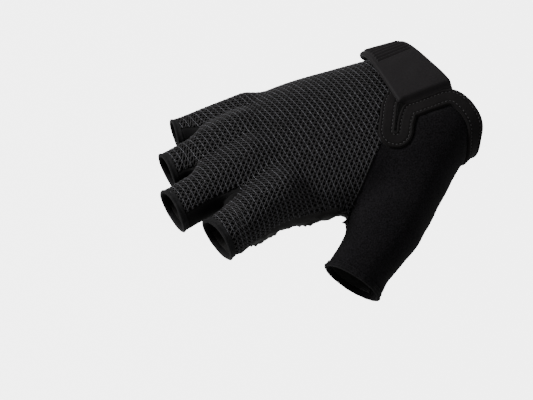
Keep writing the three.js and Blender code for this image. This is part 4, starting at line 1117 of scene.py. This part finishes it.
def wristStrap():
    # A grid over the strap; its top rounds down at the edges, with a border and ribs at the tab
    share = np.linspace(-strap["tuck"] / strapLength, 1, strap["lengthSteps"])[:, None]
    v = np.sin(np.linspace(-1, 1, strap["acrossSteps"]) * math.pi / 2)[None] / 2 + 0.5
    fromEnd = (1 - share) * strapLength
    bend = np.clip(1 - fromEnd / strap["corner"], 0, 1)
    tuck = strap["corner"] * (1 - np.sqrt(1 - bend**2)) / tabWidth
    across = lerp(tuck, 1 - tuck, v)
    base = strapBase(share + 0 * v, across + 0 * share)
    normal = formNormal(base)
    width = lerp(strapWidth, tabWidth, strapNarrow(share))
    toSide = np.minimum(across - tuck, 1 - tuck - across) * width
    toEdge = np.minimum(toSide, np.maximum(fromEnd, 0) + 0 * v)
    under = strapUnder(share) - strap["sink"] * ease(1.6, -strap["tuck"], share * strapLength)
    thick = lerp(0.75, 1, np.minimum(strapRaised(share), 1)) * strapThickness
    s = np.clip(1 - toEdge / strap["edge"], 0, 1)
    roll = np.sqrt(np.maximum(1 - s * s, 0))
    inner = toEdge - strap["border"]
    ribEnd = strap["ribStart"] + strap["ribs"] * strap["ribPitch"]
    onTab = ease(0, 0.6, inner) * ease(ribEnd + 0.6, ribEnd - 0.4, fromEnd)
    phase = (fromEnd - strap["ribStart"]) / strap["ribPitch"] * 2 * math.pi
    ribs = onTab * strap["ribHeight"] * (0.5 - 0.5 * np.cos(phase)) ** strap["ribPower"]
    groove = strap["groove"] * np.exp(-((inner / strap["grooveWidth"]) ** 2))
    groove = groove * ease(*strap["grooveFade"], fromEnd)
    swell = strap["swell"] * wave(base, strap["swellSize"], 51)
    relief = ribs - groove - strap["tabSink"] * onTab + swell
    topLevel = under + thick * (0.45 + 0.55 * roll) + relief * roll
    lowLevel = under + thick * 0.42 * (1 - roll)
    points, faces = plate(base + normal * topLevel[..., None], base + normal * lowLevel[..., None])
    piece = makePiece("strap_band", points, faces, "strap_cloth", strapCloth)
    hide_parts("wrist_strap")


wristStrap()


patch = dict(start=17, end=4, near=0.125, far=0.625, top=0.1, bottom=0.15, lengthSteps=30, acrossSteps=22)


def hookPatch():
    # A thin plate between the strap's end and the net
    start, end = 1 - patch["start"] / strapLength, 1 - patch["end"] / strapLength
    share = np.linspace(start, end, patch["lengthSteps"])[:, None]
    v = np.linspace(patch["near"], patch["far"], patch["acrossSteps"])[None]
    base = strapBase(share + 0 * v, v + 0 * share)
    normal = formNormal(base)
    top = base + normal * (strapUnder(share) - patch["top"])[..., None]
    points, faces = plate(top, base + normal * patch["bottom"])
    piece = makePiece("fastener_patch", points, faces, "fastener", patchCloth)
    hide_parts("strap_fastener")


hookPatch()
print("strap made")


def offsetPath(path, across):
    # The path moved sideways over the cloth
    return settle(path + sideways(path) * across * bindingSide)


sunkLevel = bindingProud - stitch["sunk"]
outerLine = offsetPath(bindingLine, -bindingWidth / 2 + binding["stitchInset"])
innerLine = offsetPath(bindingLine, bindingWidth / 2 + binding["lip"] - binding["stitchInset"])
stitches("binding_stitches_outer", outerLine, sunkLevel, "trim_cloth")
stitches("binding_stitches_inner", innerLine, sunkLevel, "trim_cloth")
tabShare = np.linspace(stitch["tabStart"], stitch["tabEnd"], 40)
tabLine = strapBase(tabShare, stitch["tabInset"] + 0 * tabShare)
stitches("tab_stitches", tabLine, stitch["tabLevel"], "strap_cloth")
print("stitches made")


# Camera, floor and light

camera = dict(azimuth=math.radians(-24), elevation=math.radians(50), right=-75.2, up=-41.0, lens=500,
              sensor=36, spread=218.4)
cosA, sinA = math.cos(camera["azimuth"]), math.sin(camera["azimuth"])
cosE, sinE = math.cos(camera["elevation"]), math.sin(camera["elevation"])
rightWay = np.array([cosA, sinA, 0])
upWay = np.array([-sinA * sinE, cosA * sinE, cosE])
backWay = np.array([sinA * cosE, -cosA * cosE, sinE])
target = (rightWay * camera["right"] + upWay * camera["up"]) * metre
distance = camera["lens"] / camera["sensor"] * camera["spread"] * metre
lens = bpy.data.cameras.new("camera")
lens.lens, lens.sensor_width = camera["lens"], camera["sensor"]
lens.clip_start, lens.clip_end = 0.1, 50
eye = bpy.data.objects.new("camera", lens)
bpy.context.scene.collection.objects.link(eye)


def placed(right, top, back, spot):
    # The matrix of an object at spot that looks away from back
    return Matrix([[*row] for row in np.stack([right, top, back, spot], 1)] + [[0, 0, 0, 1]])


eye.matrix_world = placed(rightWay, upWay, backWay, target + backWay * distance)
bpy.context.scene.camera = eye


# Metres, brightness of the floor and of the sky
studio = dict(floorHalf=6.0, floorLevel=-0.45, floorTone=(0.8, 0.8, 0.8, 1), floorGlow=4.2, sky=0.37)


def stageFloor():
    # A large pale floor far below the glove, which is held up
    mesh = bpy.data.meshes.new("floor")
    half, level = studio["floorHalf"], studio["floorLevel"]
    corner = [(-half, -half, level), (half, -half, level), (half, half, level), (-half, half, level)]
    mesh.from_pydata(corner, [], [(0, 1, 2, 3)])
    made = bpy.data.materials.new("floor")
    made.use_nodes = True
    shader = made.node_tree.nodes["Principled BSDF"]
    shader.inputs["Base Color"].default_value = studio["floorTone"]
    shader.inputs["Emission Color"].default_value = (1, 1, 1, 1)
    shader.inputs["Emission Strength"].default_value = studio["floorGlow"]
    shader.inputs["Roughness"].default_value = 1
    shader.inputs["Specular IOR Level"].default_value = 0
    mesh.materials.append(made)
    floor = bpy.data.objects.new("floor", mesh)
    bpy.context.scene.collection.objects.link(floor)
    floor.visible_diffuse = floor.visible_glossy = False  # the lamps and sky alone light the glove


stageFloor()

world = bpy.data.worlds.new("studio")
bpy.context.scene.world = world
world.use_nodes = True
world.node_tree.nodes["Background"].inputs["Color"].default_value = (1, 1, 1, 1)
world.node_tree.nodes["Background"].inputs["Strength"].default_value = studio["sky"]


handMiddle = np.array([-0.06, 0, 0])


def softLight(name, place, size, power):
    # A square light that faces the glove's middle
    light = bpy.data.lights.new(name, "AREA")
    light.size, light.energy = size, power
    lamp = bpy.data.objects.new(name, light)
    bpy.context.scene.collection.objects.link(lamp)
    back = unit(place - handMiddle)
    side = unit(np.cross(up, back))
    lamp.matrix_world = placed(side, np.cross(back, side), back, place)


softLight("key", rightWay * -1.25 + upWay * 0.75 + backWay * 0.7, 0.5, 30)
softLight("fill", rightWay * 1.0 + upWay * 0.2 + backWay * 1.1, 1.0, 2)
print("stage ready")
